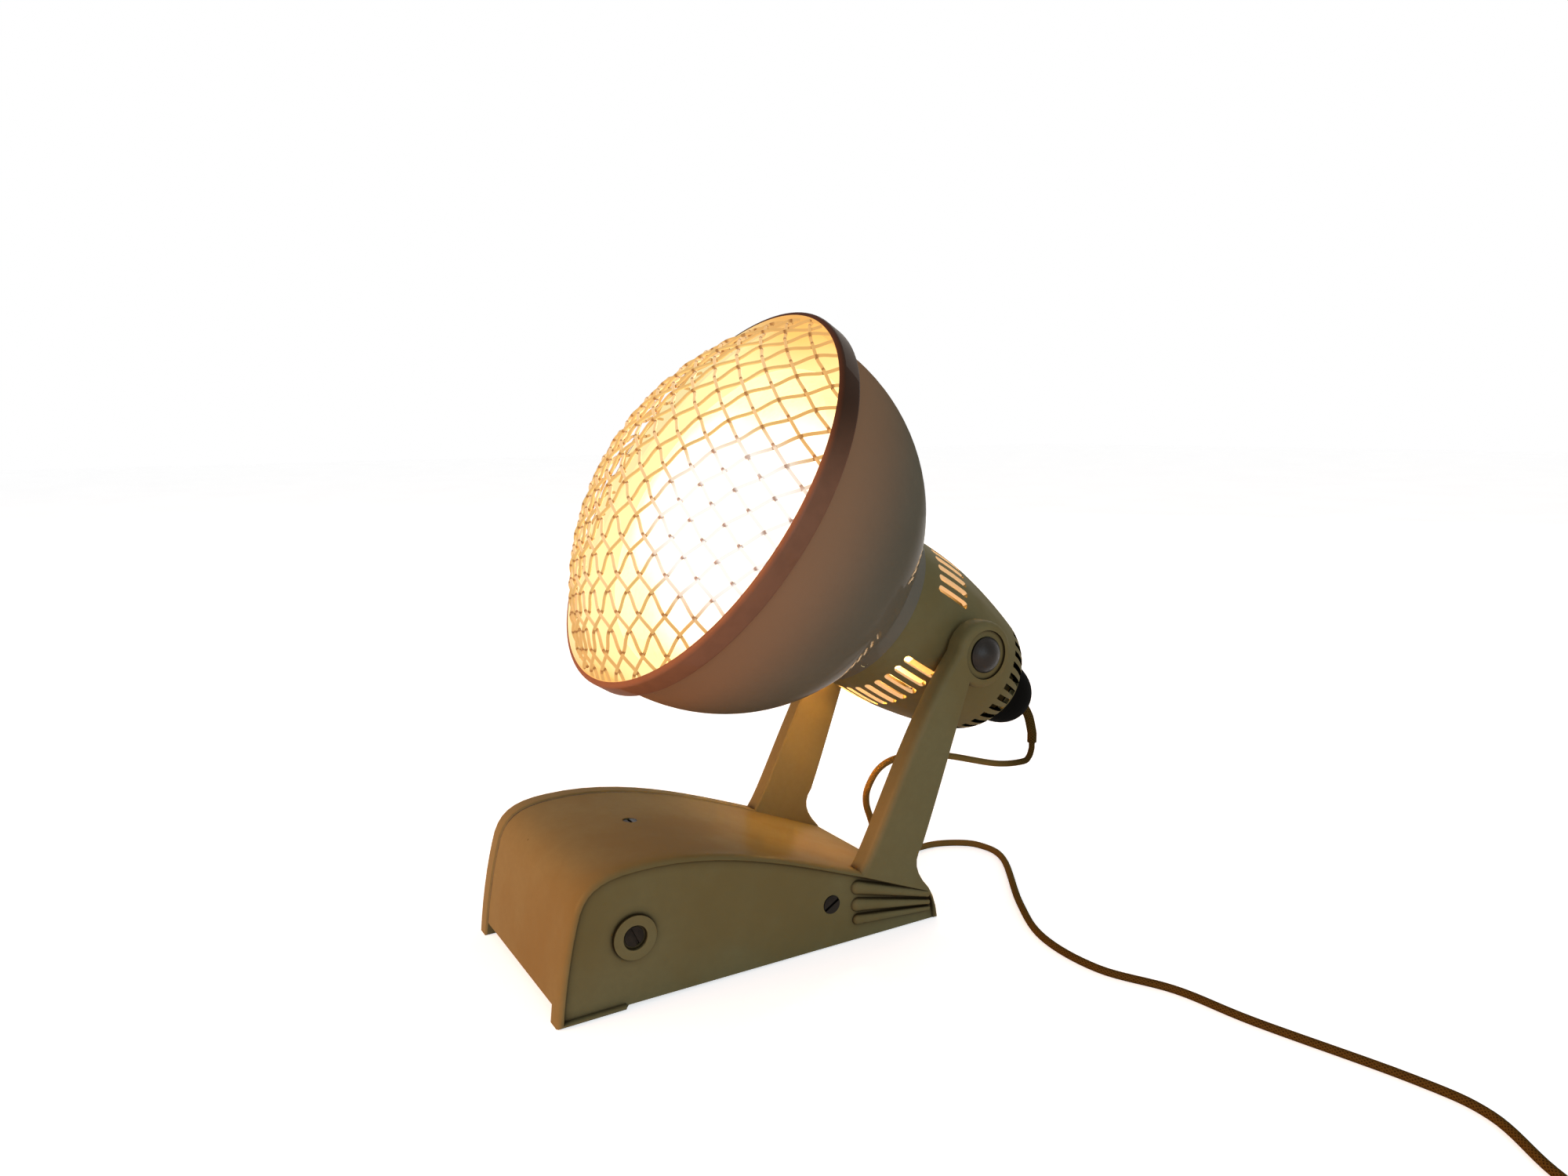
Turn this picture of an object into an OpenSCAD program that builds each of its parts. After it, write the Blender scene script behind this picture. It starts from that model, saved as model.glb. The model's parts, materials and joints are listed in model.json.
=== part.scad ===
// Table heat lamp: a moulded base with two arms carries a tilting reflector head behind a domed wire guard.
// Front is -Y, +Z is up, the table is at Z = 0 and the origin is under the middle of the lamp's length.

/* [Base] */
// Length of a cheek from its front edge to its rear tip
base_len = 154.6; // [140:0.2:180]
// Width over the outer faces of the two cheeks
base_w = 88.4; // [80:0.2:100]
// Thickness of a cheek, from its inner face to the top of its bead
cheek_t = 8.4; // [7:0.2:12]
// Height of the cheek's crest above the table
cheek_h = 49.1; // [42:0.1:60]
// Height where the nose turns into the brow
nose_h = 34.2; // [28:0.2:38]
// Distance that the nose leans back at that height
nose_lean = 6; // [2:0.2:10]
// Distance from the front edge to the crest
crest_u = 28; // [22:0.2:40]
// Distance from the front edge to the arm's root
saddle_u = 117.9; // [110:0.1:122]
// Height of the top edge at the arm's root
saddle_h = 26.8; // [23:0.2:30]
// Width of the raised bead round a cheek
bead_w = 2.2; // [1.8:0.1:4]
// Depth of the flat panel behind the bead
panel_depth = 1.9; // [1:0.1:2.6]
// Height of the bottom edge above the table between the feet
edge_lift = 1.2; // [0.6:0.1:3]
// Length of a front foot pad
pad_len = 24; // [14:0.5:30]
// Wall of the curved cover between the cheeks
shell_wall = 2.2; // [1.6:0.1:3]
// Height of the cover's front edge above the table
shell_front_h = 5; // [3:0.2:10]

/* [Arms] */
// Height of the tilt axis above the table
pivot_h = 101.8; // [95:0.2:112]
// Distance from the front edge back to the tilt axis
pivot_back = 176.1; // [168:0.1:182]
// Radius of the round boss at the top of an arm
boss_r = 13.2; // [12.2:0.1:15]
// Rounding of an arm's outer edges
arm_round = 2.6; // [1.5:0.1:3]
// Radius of the relief that the head turns in, inside each arm
relief_r = 23; // [20:0.5:26]
// Diameter of a pivot bolt
bolt_d = 8; // [6:0.1:9]
// Diameter of the domed steel cap over a pivot bolt
cap_d = 14; // [13:0.1:15]

/* [Head] */
// Angle of the head's axis above the level at rest
head_angle = 32.2; // [20:0.2:45]
// Distance from the guard's rim plane back to the tilt axis
pivot_s = 120.4; // [116:0.2:126]
// Largest outer radius of the shade
shade_r = 73.7; // [70:0.1:80]
// Length of the shade from the rim plane to its seam with the neck
shade_len = 86.4; // [84:0.2:92]
// Outer radius of the collar at the back of the shade
collar_r = 35.4; // [34.8:0.1:37]
// Sheet thickness of the shade
shade_wall = 1; // [0.6:0.1:1.6]
// Radius of the bezel's front opening
bezel_in_r = 75.2; // [74.4:0.1:84]
// Length of the neck housing behind the seam
neck_len = 82.6; // [76:0.2:90]
// Outer radius of the neck housing at its widest place
neck_r = 34; // [32:0.1:34.2]
// Outer radius of the rim round the cable entry
tail_r = 16.7; // [15.5:0.1:20]
// Wall of the neck housing
neck_wall = 2; // [1.6:0.1:2.6]

/* [Vents] */
// Width of a long vent slot
slot_w = 2.9; // [2:0.1:3.4]
// Length of a long vent slot
slot_len = 17; // [10:0.5:20]
// Long slots in each of the two groups, on top of the neck and under it
slot_count = 15; // [5:2:15]
// Angle between two long slots
slot_step = 9; // [7.5:0.5:9]
// Slots in the comb round the back of the neck
comb_count = 34; // [16:1:36]
// Width of a comb slot
comb_w = 2.4; // [1.6:0.1:2.6]

/* [Guard] */
// Height of the guard's dome above its rim plane
dome_h = 29.3; // [20:0.1:34]
// Diameter of the guard wire
wire_d = 1.2; // [0.8:0.1:1.3]
// Distance between two wires, along the dome
wire_pitch = 8.8; // [7:0.1:12]
// Turn of the weave about the head's axis
weave_turn = 36.5; // [0:0.5:90]

/* [Lamp] */
// Largest radius of the reflector bulb
bulb_r = 62.5; // [55:0.5:65]
// Thickness of the bulb's glass
glass_wall = 1.2; // [0.8:0.1:2]
// Radius of the bulb's screw cap
lamp_cap_r = 13.2; // [12.5:0.1:13.4]
// Outer radius of the ceramic lampholder
holder_r = 19; // [17.5:0.1:20]

/* [Fasteners] */
// Diameter of a screw's head
screw_head_d = 6.8; // [5.5:0.1:7]
// Diameter of a screw's shank
screw_d = 4; // [3:0.1:4.2]
// Diameter of a tie rod between the cheeks
rod_d = 9; // [8:0.1:10]

/* [Cord] */
// Diameter of the cord
cord_d = 2.8; // [2.4:0.1:3]
// Diameter of the sleeve at the gland
sleeve_d = 4.2; // [3.6:0.1:5]
// Loops in each of the coil's two layers
coil_loops = 5; // [3:1:6]
// Free gap between neighbouring turns of the coil
coil_gap = 0.6; // [0.5:0.1:1.2]
// Distance between the plug's pins
pin_gap = 19; // [18:0.2:20]
// Diameter of a plug pin
pin_d = 4; // [4:0.2:4.8]

/* [Hidden] */
$fn = 64;

// Fits: a seated gap between fixed pieces, a running fit for the bolts, a gap to what moves
seat_gap = 0.1;
run_gap = 0.05;
clear_gap = 0.3;
overlap = 1;

// Places that several pieces share
gland_r = 14.5;
gland_len = 20.8;
gland_back = 9;
head_len = shade_len + neck_len;
lamp_len = pivot_back + (head_len + gland_len - pivot_s) * cos(head_angle);
front_y = -lamp_len / 2;
pivot_y = front_y + pivot_back;
face_x = base_w / 2;
cheek_x = face_x - cheek_t;
panel_x = face_x - panel_depth;
relief_x = max(neck_r + 2 * clear_gap, cheek_x);

// Screw places as [distance from the front edge, height]
front_screw = [27.5, 24.7];
rear_screw = [105.4, 16.8];
top_screw_u = 45;
screw_sink = 1.5;
screw_grip = 10;
ring_r = 7.6;
ring_h = 1.3;
ring_wall = 3.3;

// Curves
function lerp(a, b, t) = a + (b - a) * t;
function bezier(p, n) = [for (i = [0:n]) let (t = i / n, v = 1 - t)
    v * v * v * p[0] + 3 * v * v * t * p[1] + 3 * v * t * t * p[2] + t * t * t * p[3]];
function arc(c, r, a0, a1, n) = [for (i = [0:n]) let (a = lerp(a0, a1, i / n)) c + r * [cos(a), sin(a)]];
function reversed(p) = [for (i = [len(p) - 1:-1:0]) p[i]];
function unit(v) = v / norm(v);
function slice(p, a, b) = [for (i = [a:b]) p[i]];

// Outline moved inwards by d, for points that run clockwise
function inset(p, d) = let (n = len(p)) [for (i = [0:n - 1]) let (
    e0 = unit(p[i] - p[(i + n - 1) % n]), e1 = unit(p[(i + 1) % n] - p[i]),
    n0 = [e0[1], -e0[0]], n1 = [e1[1], -e1[0]])
    p[i] + d * (n0 + n1) / (1 + n0 * n1)];

// Open line moved sideways by d, to the right of its direction
function offset_line(p, d) = let (n = len(p)) [for (i = [0:n - 1]) let (
    e0 = unit(p[max(i, 1)] - p[max(i, 1) - 1]), e1 = unit(p[min(i, n - 2) + 1] - p[min(i, n - 2)]),
    n0 = [e0[1], -e0[0]], n1 = [e1[1], -e1[0]])
    p[i] + d * (n0 + n1) / (1 + n0 * n1)];

// Triangles that fill an outline, cut off one ear at a time, for points that run clockwise
function turn(a, b, c) = (b[0] - a[0]) * (c[1] - a[1]) - (b[1] - a[1]) * (c[0] - a[0]);
function covers(a, b, c, q) = turn(a, b, q) < 0 && turn(b, c, q) < 0 && turn(c, a, q) < 0;
function corner(ids, k) = let (n = len(ids)) [ids[(k + n - 1) % n], ids[k], ids[(k + 1) % n]];
function is_ear(p, ids, k) = let (c = corner(ids, k), a = p[c[0]], b = p[c[1]], d = p[c[2]])
    turn(a, b, d) < 0 && len([for (i = ids) if (covers(a, b, d, p[i])) i]) == 0;
function first_ear(p, ids) = [for (k = [0:len(ids) - 1]) if (is_ear(p, ids, k)) k][0];
function ears(p, ids) = len(ids) < 3 ? [] : let (k = first_ear(p, ids))
    concat([corner(ids, k)], ears(p, [for (i = [0:len(ids) - 1]) if (i != k) ids[i]]));

// Solid through equal outlines, each level given as [x, inset]
module loft(p, levels) {
    n = len(p);
    m = len(levels);
    outlines = [for (l = levels) inset(p, l[1])];
    points = [for (j = [0:m - 1], q = outlines[j]) [levels[j][0], q[0], q[1]]];
    sides = [for (j = [0:m - 2], i = [0:n - 1]) let (k = (i + 1) % n)
        each [[j * n + i, j * n + k, (j + 1) * n + i], [j * n + k, (j + 1) * n + k, (j + 1) * n + i]]];
    inner = [for (f = ears(outlines[0], [for (i = [0:n - 1]) i])) reversed(f)];
    outer = [for (f = ears(outlines[m - 1], [for (i = [0:n - 1]) i])) [for (i = f) (m - 1) * n + i]];
    polyhedron(points, concat(sides, inner, outer));
}

// Tube swept along a path, as [points, faces]; the ring frame turns as little as it can
function tangents(p) = let (n = len(p)) [for (i = [0:n - 1])
    unit(i == 0 ? p[1] - p[0] : i == n - 1 ? p[n - 1] - p[n - 2] : p[i + 1] - p[i - 1])];
function frames(t, up) = [for (i = 0, u = unit(up - (up * t[0]) * t[0]); i < len(t); i = i + 1,
    u = i < len(t) ? unit(u - (u * t[i]) * t[i]) : u) u];
function tube_points(p, r, sides, up) = let (t = tangents(p), u = frames(t, up))
    [for (i = [0:len(p) - 1], k = [0:sides - 1]) let (a = 360 * k / sides)
        p[i] + r * (cos(a) * u[i] + sin(a) * cross(t[i], u[i]))];
function tube_faces(n, sides, first) = concat(
    [for (i = [0:n - 2], k = [0:sides - 1]) let (l = (k + 1) % sides, a = first + i * sides, b = a + sides)
        each [[a + k, b + k, a + l], [a + l, b + k, b + l]]],
    [for (k = [1:sides - 2]) [first, first + k, first + k + 1]],
    [for (k = [1:sides - 2]) let (e = first + (n - 1) * sides) [e, e + k + 1, e + k]]);
module tube(p, d, sides, up = [1, 0, 0]) {
    polyhedron(tube_points(p, d / 2, sides, up), tube_faces(len(p), sides, 0));
}

// Smooth path through hand-set points, straight in its first and last step and never lower than z
function smooth(p, n) = let (m = len(p)) concat([for (i = [0:m - 2], j = [0:n - 1]) let (
    t = j / n, a = p[max(i - 1, 0)], b = p[i], c = p[i + 1], d = p[min(i + 2, m - 1)])
    0.5 * (2 * b + t * (c - a) + t * t * (2 * a - 5 * b + 4 * c - d)
    + t * t * t * (3 * b - a - 3 * c + d))], [p[m - 1]]);
function laid(p, n, z) = let (m = len(p))
    [for (q = concat([p[0]], smooth(slice(p, 1, m - 2), n), [p[m - 1]])) [q[0], q[1], max(q[2], z)]];

// Cheek outline, as [distance from the front edge, height]
nose = bezier([[0, 0], [nose_lean / 6, nose_h * 0.3], [nose_lean / 2, nose_h * 0.68],
    [nose_lean, nose_h]], 6);
brow = bezier([[nose_lean, nose_h], [nose_lean + 2.5, cheek_h - 4.2], [crest_u / 2, cheek_h - 0.5],
    [crest_u, cheek_h]], 8);
crest = bezier([[crest_u, cheek_h], [crest_u + 30, cheek_h + 1.3], [saddle_u - 31, saddle_h + 12],
    [saddle_u, saddle_h]], 12);
heel = [base_len - 4.4, saddle_h / 2];
tip = bezier([heel, [base_len - 2, saddle_h * 0.37], [base_len - 0.6, saddle_h * 0.2], [base_len, 0]], 3);
rim = concat(nose, slice(brow, 1, 8), slice(crest, 1, 12));
pad_step = 1;
sole = [[base_len, 0], [pad_len + pad_step, edge_lift], [pad_len, 0]];

// Arm edges, from the saddle up round the boss and down to the heel
boss_at = [pivot_back, pivot_h];
arm_front = bezier([[saddle_u, saddle_h], [saddle_u + 8, saddle_h + 10], [pivot_back - 34, pivot_h - 22],
    boss_at + boss_r * [cos(170), sin(170)]], 12);
boss_round = arc(boss_at, boss_r, 170, -122, 18);
arm_back = bezier([boss_at + boss_r * [cos(-122), sin(-122)], [pivot_back - 12, pivot_h - 24],
    [base_len - 1, saddle_h + 20], [base_len - 7.6, saddle_h + 4]], 8);
notch = bezier([[base_len - 7.6, saddle_h + 4], [base_len - 11.8, saddle_h - 1],
    [base_len - 11.2, saddle_h - 6], heel], 6);
cheek_line = concat(rim, slice(arm_front, 1, 12), slice(boss_round, 1, 18), slice(arm_back, 1, 8),
    slice(notch, 1, 6), slice(tip, 1, 2), sole);

// Flat panel inside the bead, which turns along the front pad and is open below behind it
below = 8;
lip_end = pad_len - bead_w;
panel_line = concat(rim, tip, [[base_len, -below], [lip_end, -below], [lip_end, 0]]);

// Raised fingers on the foot: height at the front and back end, radius at each end
finger_front_h = [20.9, 14.2, 8.5];
finger_back_h = [11, 7.7, 5.2];
finger_front_r = [3, 2.9, 2.1];
finger_back_r = [1.7, 1, 0.9];
finger_front_u = saddle_u - 1.2;
finger_back_u = base_len - 5;

module across(x0, x1) {
    translate([x0, front_y, 0]) rotate([90, 0, 90]) linear_extrude(x1 - x0) children();
}
module pin_x(at, x0, x1, r) {
    translate([x0, front_y + at[0], at[1]]) rotate([0, 90, 0]) cylinder(h = x1 - x0, r = r);
}
module side(s) {
    if (s < 0) mirror([1, 0, 0]) children();
    else children();
}

module cheek_plate() {
    r = arm_round;
    translate([0, front_y, 0]) loft(cheek_line, [[cheek_x, 0.6], [cheek_x + 0.6, 0], [face_x - r, 0],
        [face_x - 0.5 * r, 0.14 * r], [face_x - 0.13 * r, 0.5 * r], [face_x, r]]);
}
module panel_cut() {
    side_h = face_x - panel_x;
    translate([0, front_y, 0]) loft(panel_line, [[panel_x, bead_w], [panel_x + 0.6 * side_h, bead_w - 0.3],
        [face_x - 0.1, bead_w - 0.8], [face_x + overlap, bead_w - 0.9]]);
}
module finger(a, b, r1, r2) {
    d = b - a;
    translate(a) rotate([0, acos(d[2] / norm(d)), atan2(d[1], d[0])])
        rotate_extrude($fn = 32) polygon(concat(arc([0, 0], r1, -90, 0, 6), [[r2, norm(d)], [0, norm(d)]]));
}
module fingers() {
    for (i = [0:2])
        finger([face_x - finger_front_r[i], front_y + finger_front_u, finger_front_h[i]],
            [face_x - finger_back_r[i], front_y + finger_back_u, finger_back_h[i]],
            finger_front_r[i], finger_back_r[i]);
}
head_floor_x = face_x - 2.8;
cap_recess = 0.8;
recess_r = 9.65;
module cheek() {
    difference() {
        union() {
            difference() {
                cheek_plate();
                panel_cut();
            }
            fingers();
            pin_x(front_screw, panel_x - overlap, panel_x + ring_h, ring_r);
        }
        if (relief_x > cheek_x) pin_x(boss_at, cheek_x - overlap, relief_x, relief_r);
        pin_x(boss_at, cheek_x, face_x + overlap, bolt_d / 2 + seat_gap);
        pin_x(boss_at, head_floor_x, face_x + overlap, cap_d / 2 + seat_gap);
        pin_x(boss_at, face_x - cap_recess, face_x + overlap, recess_r);
        pin_x(front_screw, panel_x, face_x + overlap, ring_r - ring_wall);
        for (at = [front_screw, rear_screw]) {
            pin_x(at, cheek_x - overlap, face_x + overlap, screw_d / 2 + seat_gap);
            pin_x(at, panel_x - screw_sink, face_x + overlap, screw_head_d / 2 + seat_gap);
        }
    }
}
module cheek_right() { color("#cfc59c") side(1) cheek(); }
module cheek_left() { color("#cfc59c") side(-1) cheek(); }

// Cover between the cheeks: one curved sheet from the front edge over the crest to the heel
shell_inset = 0.5;
top_head_r = 2.6;
shell_x = cheek_x - seat_gap;
shell_start = len([for (p = nose) if (p[1] < shell_front_h) p]);
shell_line = offset_line(concat(slice(rim, shell_start, len(rim) - 1), [heel]), shell_inset);
shell_under = offset_line(shell_line, shell_wall);
top_screw_h = lookup(top_screw_u, shell_line);
module base_shell() {
    color("#cfc59c") difference() {
        across(-shell_x, shell_x) polygon(concat(shell_line, reversed(shell_under)));
        translate([0, front_y + top_screw_u, 0]) cylinder(h = cheek_h + below, r = screw_d / 2 + seat_gap);
        translate([0, front_y + top_screw_u, top_screw_h - screw_sink])
            cylinder(h = below, r = top_head_r + seat_gap);
    }
}

// Weight under the cover, hung from the top screw
ballast_size = [50, 50, 14];
ballast_u = 35;
ballast_z = 18;
ballast_boss_r = 6;
module ballast_block() {
    top = ballast_z + ballast_size[2];
    boss_top = lookup(top_screw_u + ballast_boss_r, shell_under) - seat_gap;
    color("#4b4a48") difference() {
        union() {
            translate([-ballast_size[0] / 2, front_y + ballast_u, ballast_z]) cube(ballast_size);
            translate([0, front_y + top_screw_u, top - overlap])
                cylinder(h = boss_top - top + overlap, r = ballast_boss_r);
        }
        translate([0, front_y + top_screw_u, ballast_z + overlap])
            cylinder(h = cheek_h, r = screw_d / 2 + seat_gap);
    }
}
module tie_rod(at) {
    color("#8b8a86") difference() {
        pin_x(at, -cheek_x, cheek_x, rod_d / 2);
        for (s = [-1, 1]) side(s)
            pin_x(at, cheek_x - screw_grip - overlap, cheek_x + overlap, screw_d / 2 + seat_gap);
    }
}
module tie_rod_front() { tie_rod(front_screw); }
module tie_rod_rear() { tie_rod(rear_screw); }

// Slotted screws
slot_cut = [1, 0.8];
module screw(length, head_r, head_h) {
    difference() {
        union() {
            cylinder(h = length + head_h / 2, r = screw_d / 2);
            translate([0, 0, length]) cylinder(h = head_h, r = head_r);
        }
        translate([-head_r - overlap, -slot_cut[0] / 2, length + head_h - slot_cut[1]])
            cube([2 * (head_r + overlap), slot_cut[0], slot_cut[1] + overlap]);
    }
}
side_head_h = 1.8;
module side_screw(at, turn) {
    grip = screw_grip - overlap;
    color("#6f665a") translate([cheek_x - grip, front_y + at[0], at[1]])
        rotate([0, 90, 0]) rotate([0, 0, turn])
        screw(grip + panel_x - screw_sink - cheek_x, screw_head_d / 2, side_head_h);
}
module front_screw_right() { side(1) side_screw(front_screw, 25); }
module front_screw_left() { side(-1) side_screw(front_screw, 70); }
module rear_screw_right() { side(1) side_screw(rear_screw, 120); }
module rear_screw_left() { side(-1) side_screw(rear_screw, 40); }
module top_screw() {
    bottom = ballast_z + 2 * overlap;
    color("#6f665a") translate([0, front_y + top_screw_u, bottom])
        screw(top_screw_h - screw_sink - bottom, top_head_r, screw_sink * 0.8);
}

// Pivot hardware, the same on both sides
washer_t = 0.5;
pad_x = relief_x - washer_t - seat_gap;
pad_r = 9;
nut_h = 5;
spring_t = 0.8;
bolt_head_r = 5.6;
bolt_head_h = 1.5;
module pivot_bolt() {
    color("#8b8a86") {
        pin_x(boss_at, nut_x - overlap, head_floor_x + overlap / 2, bolt_d / 2);
        pin_x(boss_at, head_floor_x, head_floor_x + bolt_head_h, bolt_head_r);
    }
}
cap_wall = 0.6;
cap_rise = 3.6;
module pivot_cap() {
    r = cap_d / 2;
    ball = (r * r + cap_rise * cap_rise) / (2 * cap_rise);
    a = asin(r / ball);
    under = ball - cap_wall;
    b = asin((r - cap_wall) / under);
    centre = [0, face_x - head_floor_x + cap_rise - ball];
    outer = arc(centre, ball, 90 - a, 90, 8);
    inner = arc(centre, under, 90, 90 - b, 8);
    color("#77757a") translate([head_floor_x, pivot_y, pivot_h]) rotate([0, 90, 0])
        rotate_extrude() polygon(concat([[r, 0]], outer, inner, [[r - cap_wall, 0]]));
}
module ring_x(x0, x1, r_in, r_out) {
    difference() {
        pin_x(boss_at, x0, x1, r_out);
        pin_x(boss_at, x0 - overlap, x1 + overlap, r_in);
    }
}
module friction_washer() {
    color("#5a4632") ring_x(relief_x - washer_t, relief_x, bolt_d / 2 + seat_gap, pad_r);
}
module spring_washer() {
    x = pad_in_x - seat_gap;
    color("#8b8a86") ring_x(x - spring_t, x, bolt_d / 2 + seat_gap, pad_r - overlap);
}
nut_r = 7.5;
module pivot_nut() {
    color("#8b8a86") difference() {
        translate([nut_x, pivot_y, pivot_h]) rotate([0, 90, 0]) cylinder(h = nut_h, r = nut_r, $fn = 6);
        pin_x(boss_at, nut_x - overlap, nut_x + nut_h + overlap, bolt_d / 2 + run_gap);
    }
}
module pivot_bolt_right() { side(1) pivot_bolt(); }
module pivot_bolt_left() { side(-1) pivot_bolt(); }
module pivot_cap_right() { side(1) pivot_cap(); }
module pivot_cap_left() { side(-1) pivot_cap(); }
module friction_washer_right() { side(1) friction_washer(); }
module friction_washer_left() { side(-1) friction_washer(); }
module spring_washer_right() { side(1) spring_washer(); }
module spring_washer_left() { side(-1) spring_washer(); }
module pivot_nut_right() { side(1) pivot_nut(); }
module pivot_nut_left() { side(-1) pivot_nut(); }

// Head frame: local Z runs back from the guard's rim plane along the head's axis, local -Y is up
module on_head() {
    translate([0, pivot_y, pivot_h]) rotate([-90 - head_angle, 0, 0])
        translate([0, 0, -pivot_s]) children();
}
module stadium(length, width) {
    square([width, length - width], center = true);
    for (e = [-1, 1]) translate([0, e * (length - width) / 2]) circle(width / 2);
}

// Bezel channel, from the front lip back: guard wires, then the shade's flange, then the back lip
lip_t = 1;
lip_s = -0.4;
guard_s = 2;
flange_s = 4.8;
lip_w = 1.2;
channel_r = max(bezel_in_r, shade_r + clear_gap) + lip_w;
channel_end = flange_s + shade_wall + seat_gap;
bezel_wall = 1;
module bezel_ring() {
    roll = 1.6;
    out_r = channel_r + bezel_wall;
    front = lip_s - lip_t;
    back = channel_end + lip_t;
    color("#5d4634") on_head() rotate_extrude($fn = 96) polygon(concat(
        [[bezel_in_r, lip_s], [bezel_in_r, front + 0.3], [bezel_in_r + 0.3, front]],
        arc([out_r - roll, front + roll], roll, -90, 0, 6),
        arc([out_r - lip_t, back - lip_t], lip_t, 0, 90, 4),
        [[shade_r + clear_gap, back], [shade_r + clear_gap, channel_end], [channel_r, channel_end],
        [channel_r, lip_s]]));
}

// Shade: half an ellipse of sheet with a front flange and a collar at the back
mid_s = 15;
shade_depth = shade_len - 12.4;
function bowl(r, depth, r_end, n) = let (e = acos(r_end / r))
    [for (i = [0:n]) [r * cos(e * i / n), mid_s + depth * sin(e * i / n)]];
collar_rise = 1.6;
collar_in = collar_r - shade_wall;
shade_out = concat(bowl(shade_r, shade_depth, collar_r + collar_rise, 20),
    [[collar_r + 0.4, shade_len - 6.2], [collar_r, shade_len - 4.8], [collar_r, shade_len]]);
shade_in = concat(bowl(shade_r - shade_wall, shade_depth - shade_wall, collar_in + collar_rise, 20),
    [[collar_in + 0.4, shade_len - 7], [collar_in, shade_len - 5.6], [collar_in, shade_len]]);
flange_r = channel_r - seat_gap;
rivet_r = 1.2;
rivet_head_r = 2.1;
rivet_s = shade_len - rivet_head_r;
module at_rivets(r) {
    for (a = [45:90:315]) rotate([0, 0, a]) translate([r, 0, rivet_s]) rotate([0, 90, 0]) children();
}
module rivet_holes() {
    at_rivets(neck_r - 2 * neck_wall) cylinder(h = 4 * neck_wall, r = rivet_r + run_gap);
}
module shade() {
    color("#b9b39c") on_head() difference() {
        rotate_extrude($fn = 96) polygon(concat([[flange_r, flange_s], [flange_r, flange_s + shade_wall],
            [shade_r, flange_s + shade_wall]], shade_out, reversed(shade_in),
            [[shade_r - shade_wall, flange_s]]));
        rivet_holes();
    }
}

// Neck housing: a moulded sleeve that tapers to the cable entry
neck_front_r = neck_r - 0.7;
neck_wide = 19;
neck_taper = neck_len - 14;
neck_front = bezier([[neck_front_r, 0], [neck_r - 0.3, 6], [neck_r, 12], [neck_r, neck_wide]], 4);
neck_back = bezier([[neck_r, neck_wide], [neck_r, 2 * neck_wide], [neck_r - 5.5, neck_taper - 6.6],
    [tail_r + 10, neck_taper]], 10);
neck_tail = bezier([[tail_r + 10, neck_taper], [tail_r + 8.3, neck_taper + 4.4],
    [tail_r + 6.3, neck_taper + 8.9], [tail_r + 1, neck_len - 2]], 6);
neck_line = concat(neck_front, slice(neck_back, 1, 10), slice(neck_tail, 1, 6),
    [[tail_r, neck_len - 1.2], [tail_r, neck_len]]);
neck_under = offset_line(slice(neck_line, 0, len(neck_line) - 3), -neck_wall);
tail_floor = neck_under[len(neck_under) - 1][1];
// Inside face of the pivot pads, which stays clear of the tapering wall behind them
function inner_r(s) = lookup(s, [for (p = neck_under) [p[1], p[0]]]);
pad_in_x = min(neck_r - 4.5, inner_r(pivot_s - shade_len + pad_r) - seat_gap);
nut_x = pad_in_x - spring_t - 2 * seat_gap - nut_h;
spigot_len = 6.4;
spigot_r = collar_r - shade_wall - seat_gap;
gland_spigot_r = 9;
slot_start = 10;
comb_start = neck_len - 17;
comb_len = 12.5;
comb_r = tail_r + 2.4;
module neck_housing() {
    color("#cfc59c") on_head() difference() {
        translate([0, 0, shade_len]) union() {
            rotate_extrude($fn = 96) polygon(concat(
                [[neck_front_r - neck_wall, -spigot_len], [spigot_r, -spigot_len], [spigot_r, 0]],
                neck_line,
                [[gland_spigot_r + seat_gap, neck_len], [gland_spigot_r + seat_gap, tail_floor]],
                reversed(neck_under)));
            for (s = [-1, 1]) translate([0, 0, pivot_s - shade_len]) rotate([0, 90 * s, 0])
                translate([0, 0, pad_in_x]) cylinder(h = pad_x - pad_in_x, r = pad_r);
        }
        for (s = [-1, 1]) translate([0, 0, pivot_s]) rotate([0, 90 * s, 0])
            translate([0, 0, pad_in_x - overlap]) cylinder(h = 2 * pad_r, r = bolt_d / 2 + run_gap);
        for (group = [90, -90], i = [0:slot_count - 1])
            rotate([0, 0, group + (i - (slot_count - 1) / 2) * slot_step])
            translate([neck_r / 2, 0, shade_len + slot_start + slot_len / 2]) rotate([90, 0, 90])
            linear_extrude(neck_r) stadium(slot_len, slot_w);
        for (i = [0:comb_count - 1]) rotate([0, 0, (i + 0.5) * 360 / comb_count])
            translate([comb_r, -comb_w / 2, shade_len + comb_start]) cube([neck_r, comb_w, comb_len]);
        rivet_holes();
    }
}
rivet_head_h = 0.9;
module collar_rivets() {
    head_out = sqrt(pow(neck_front_r - neck_wall, 2) - pow(rivet_head_r, 2)) - seat_gap;
    color("#b9b39c") on_head() {
        at_rivets(head_out - rivet_head_h) cylinder(h = rivet_head_h, r = rivet_head_r);
        at_rivets(head_out - rivet_head_h / 2)
            cylinder(h = collar_r - head_out + rivet_head_h / 2 - seat_gap, r = rivet_r);
    }
}

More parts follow.
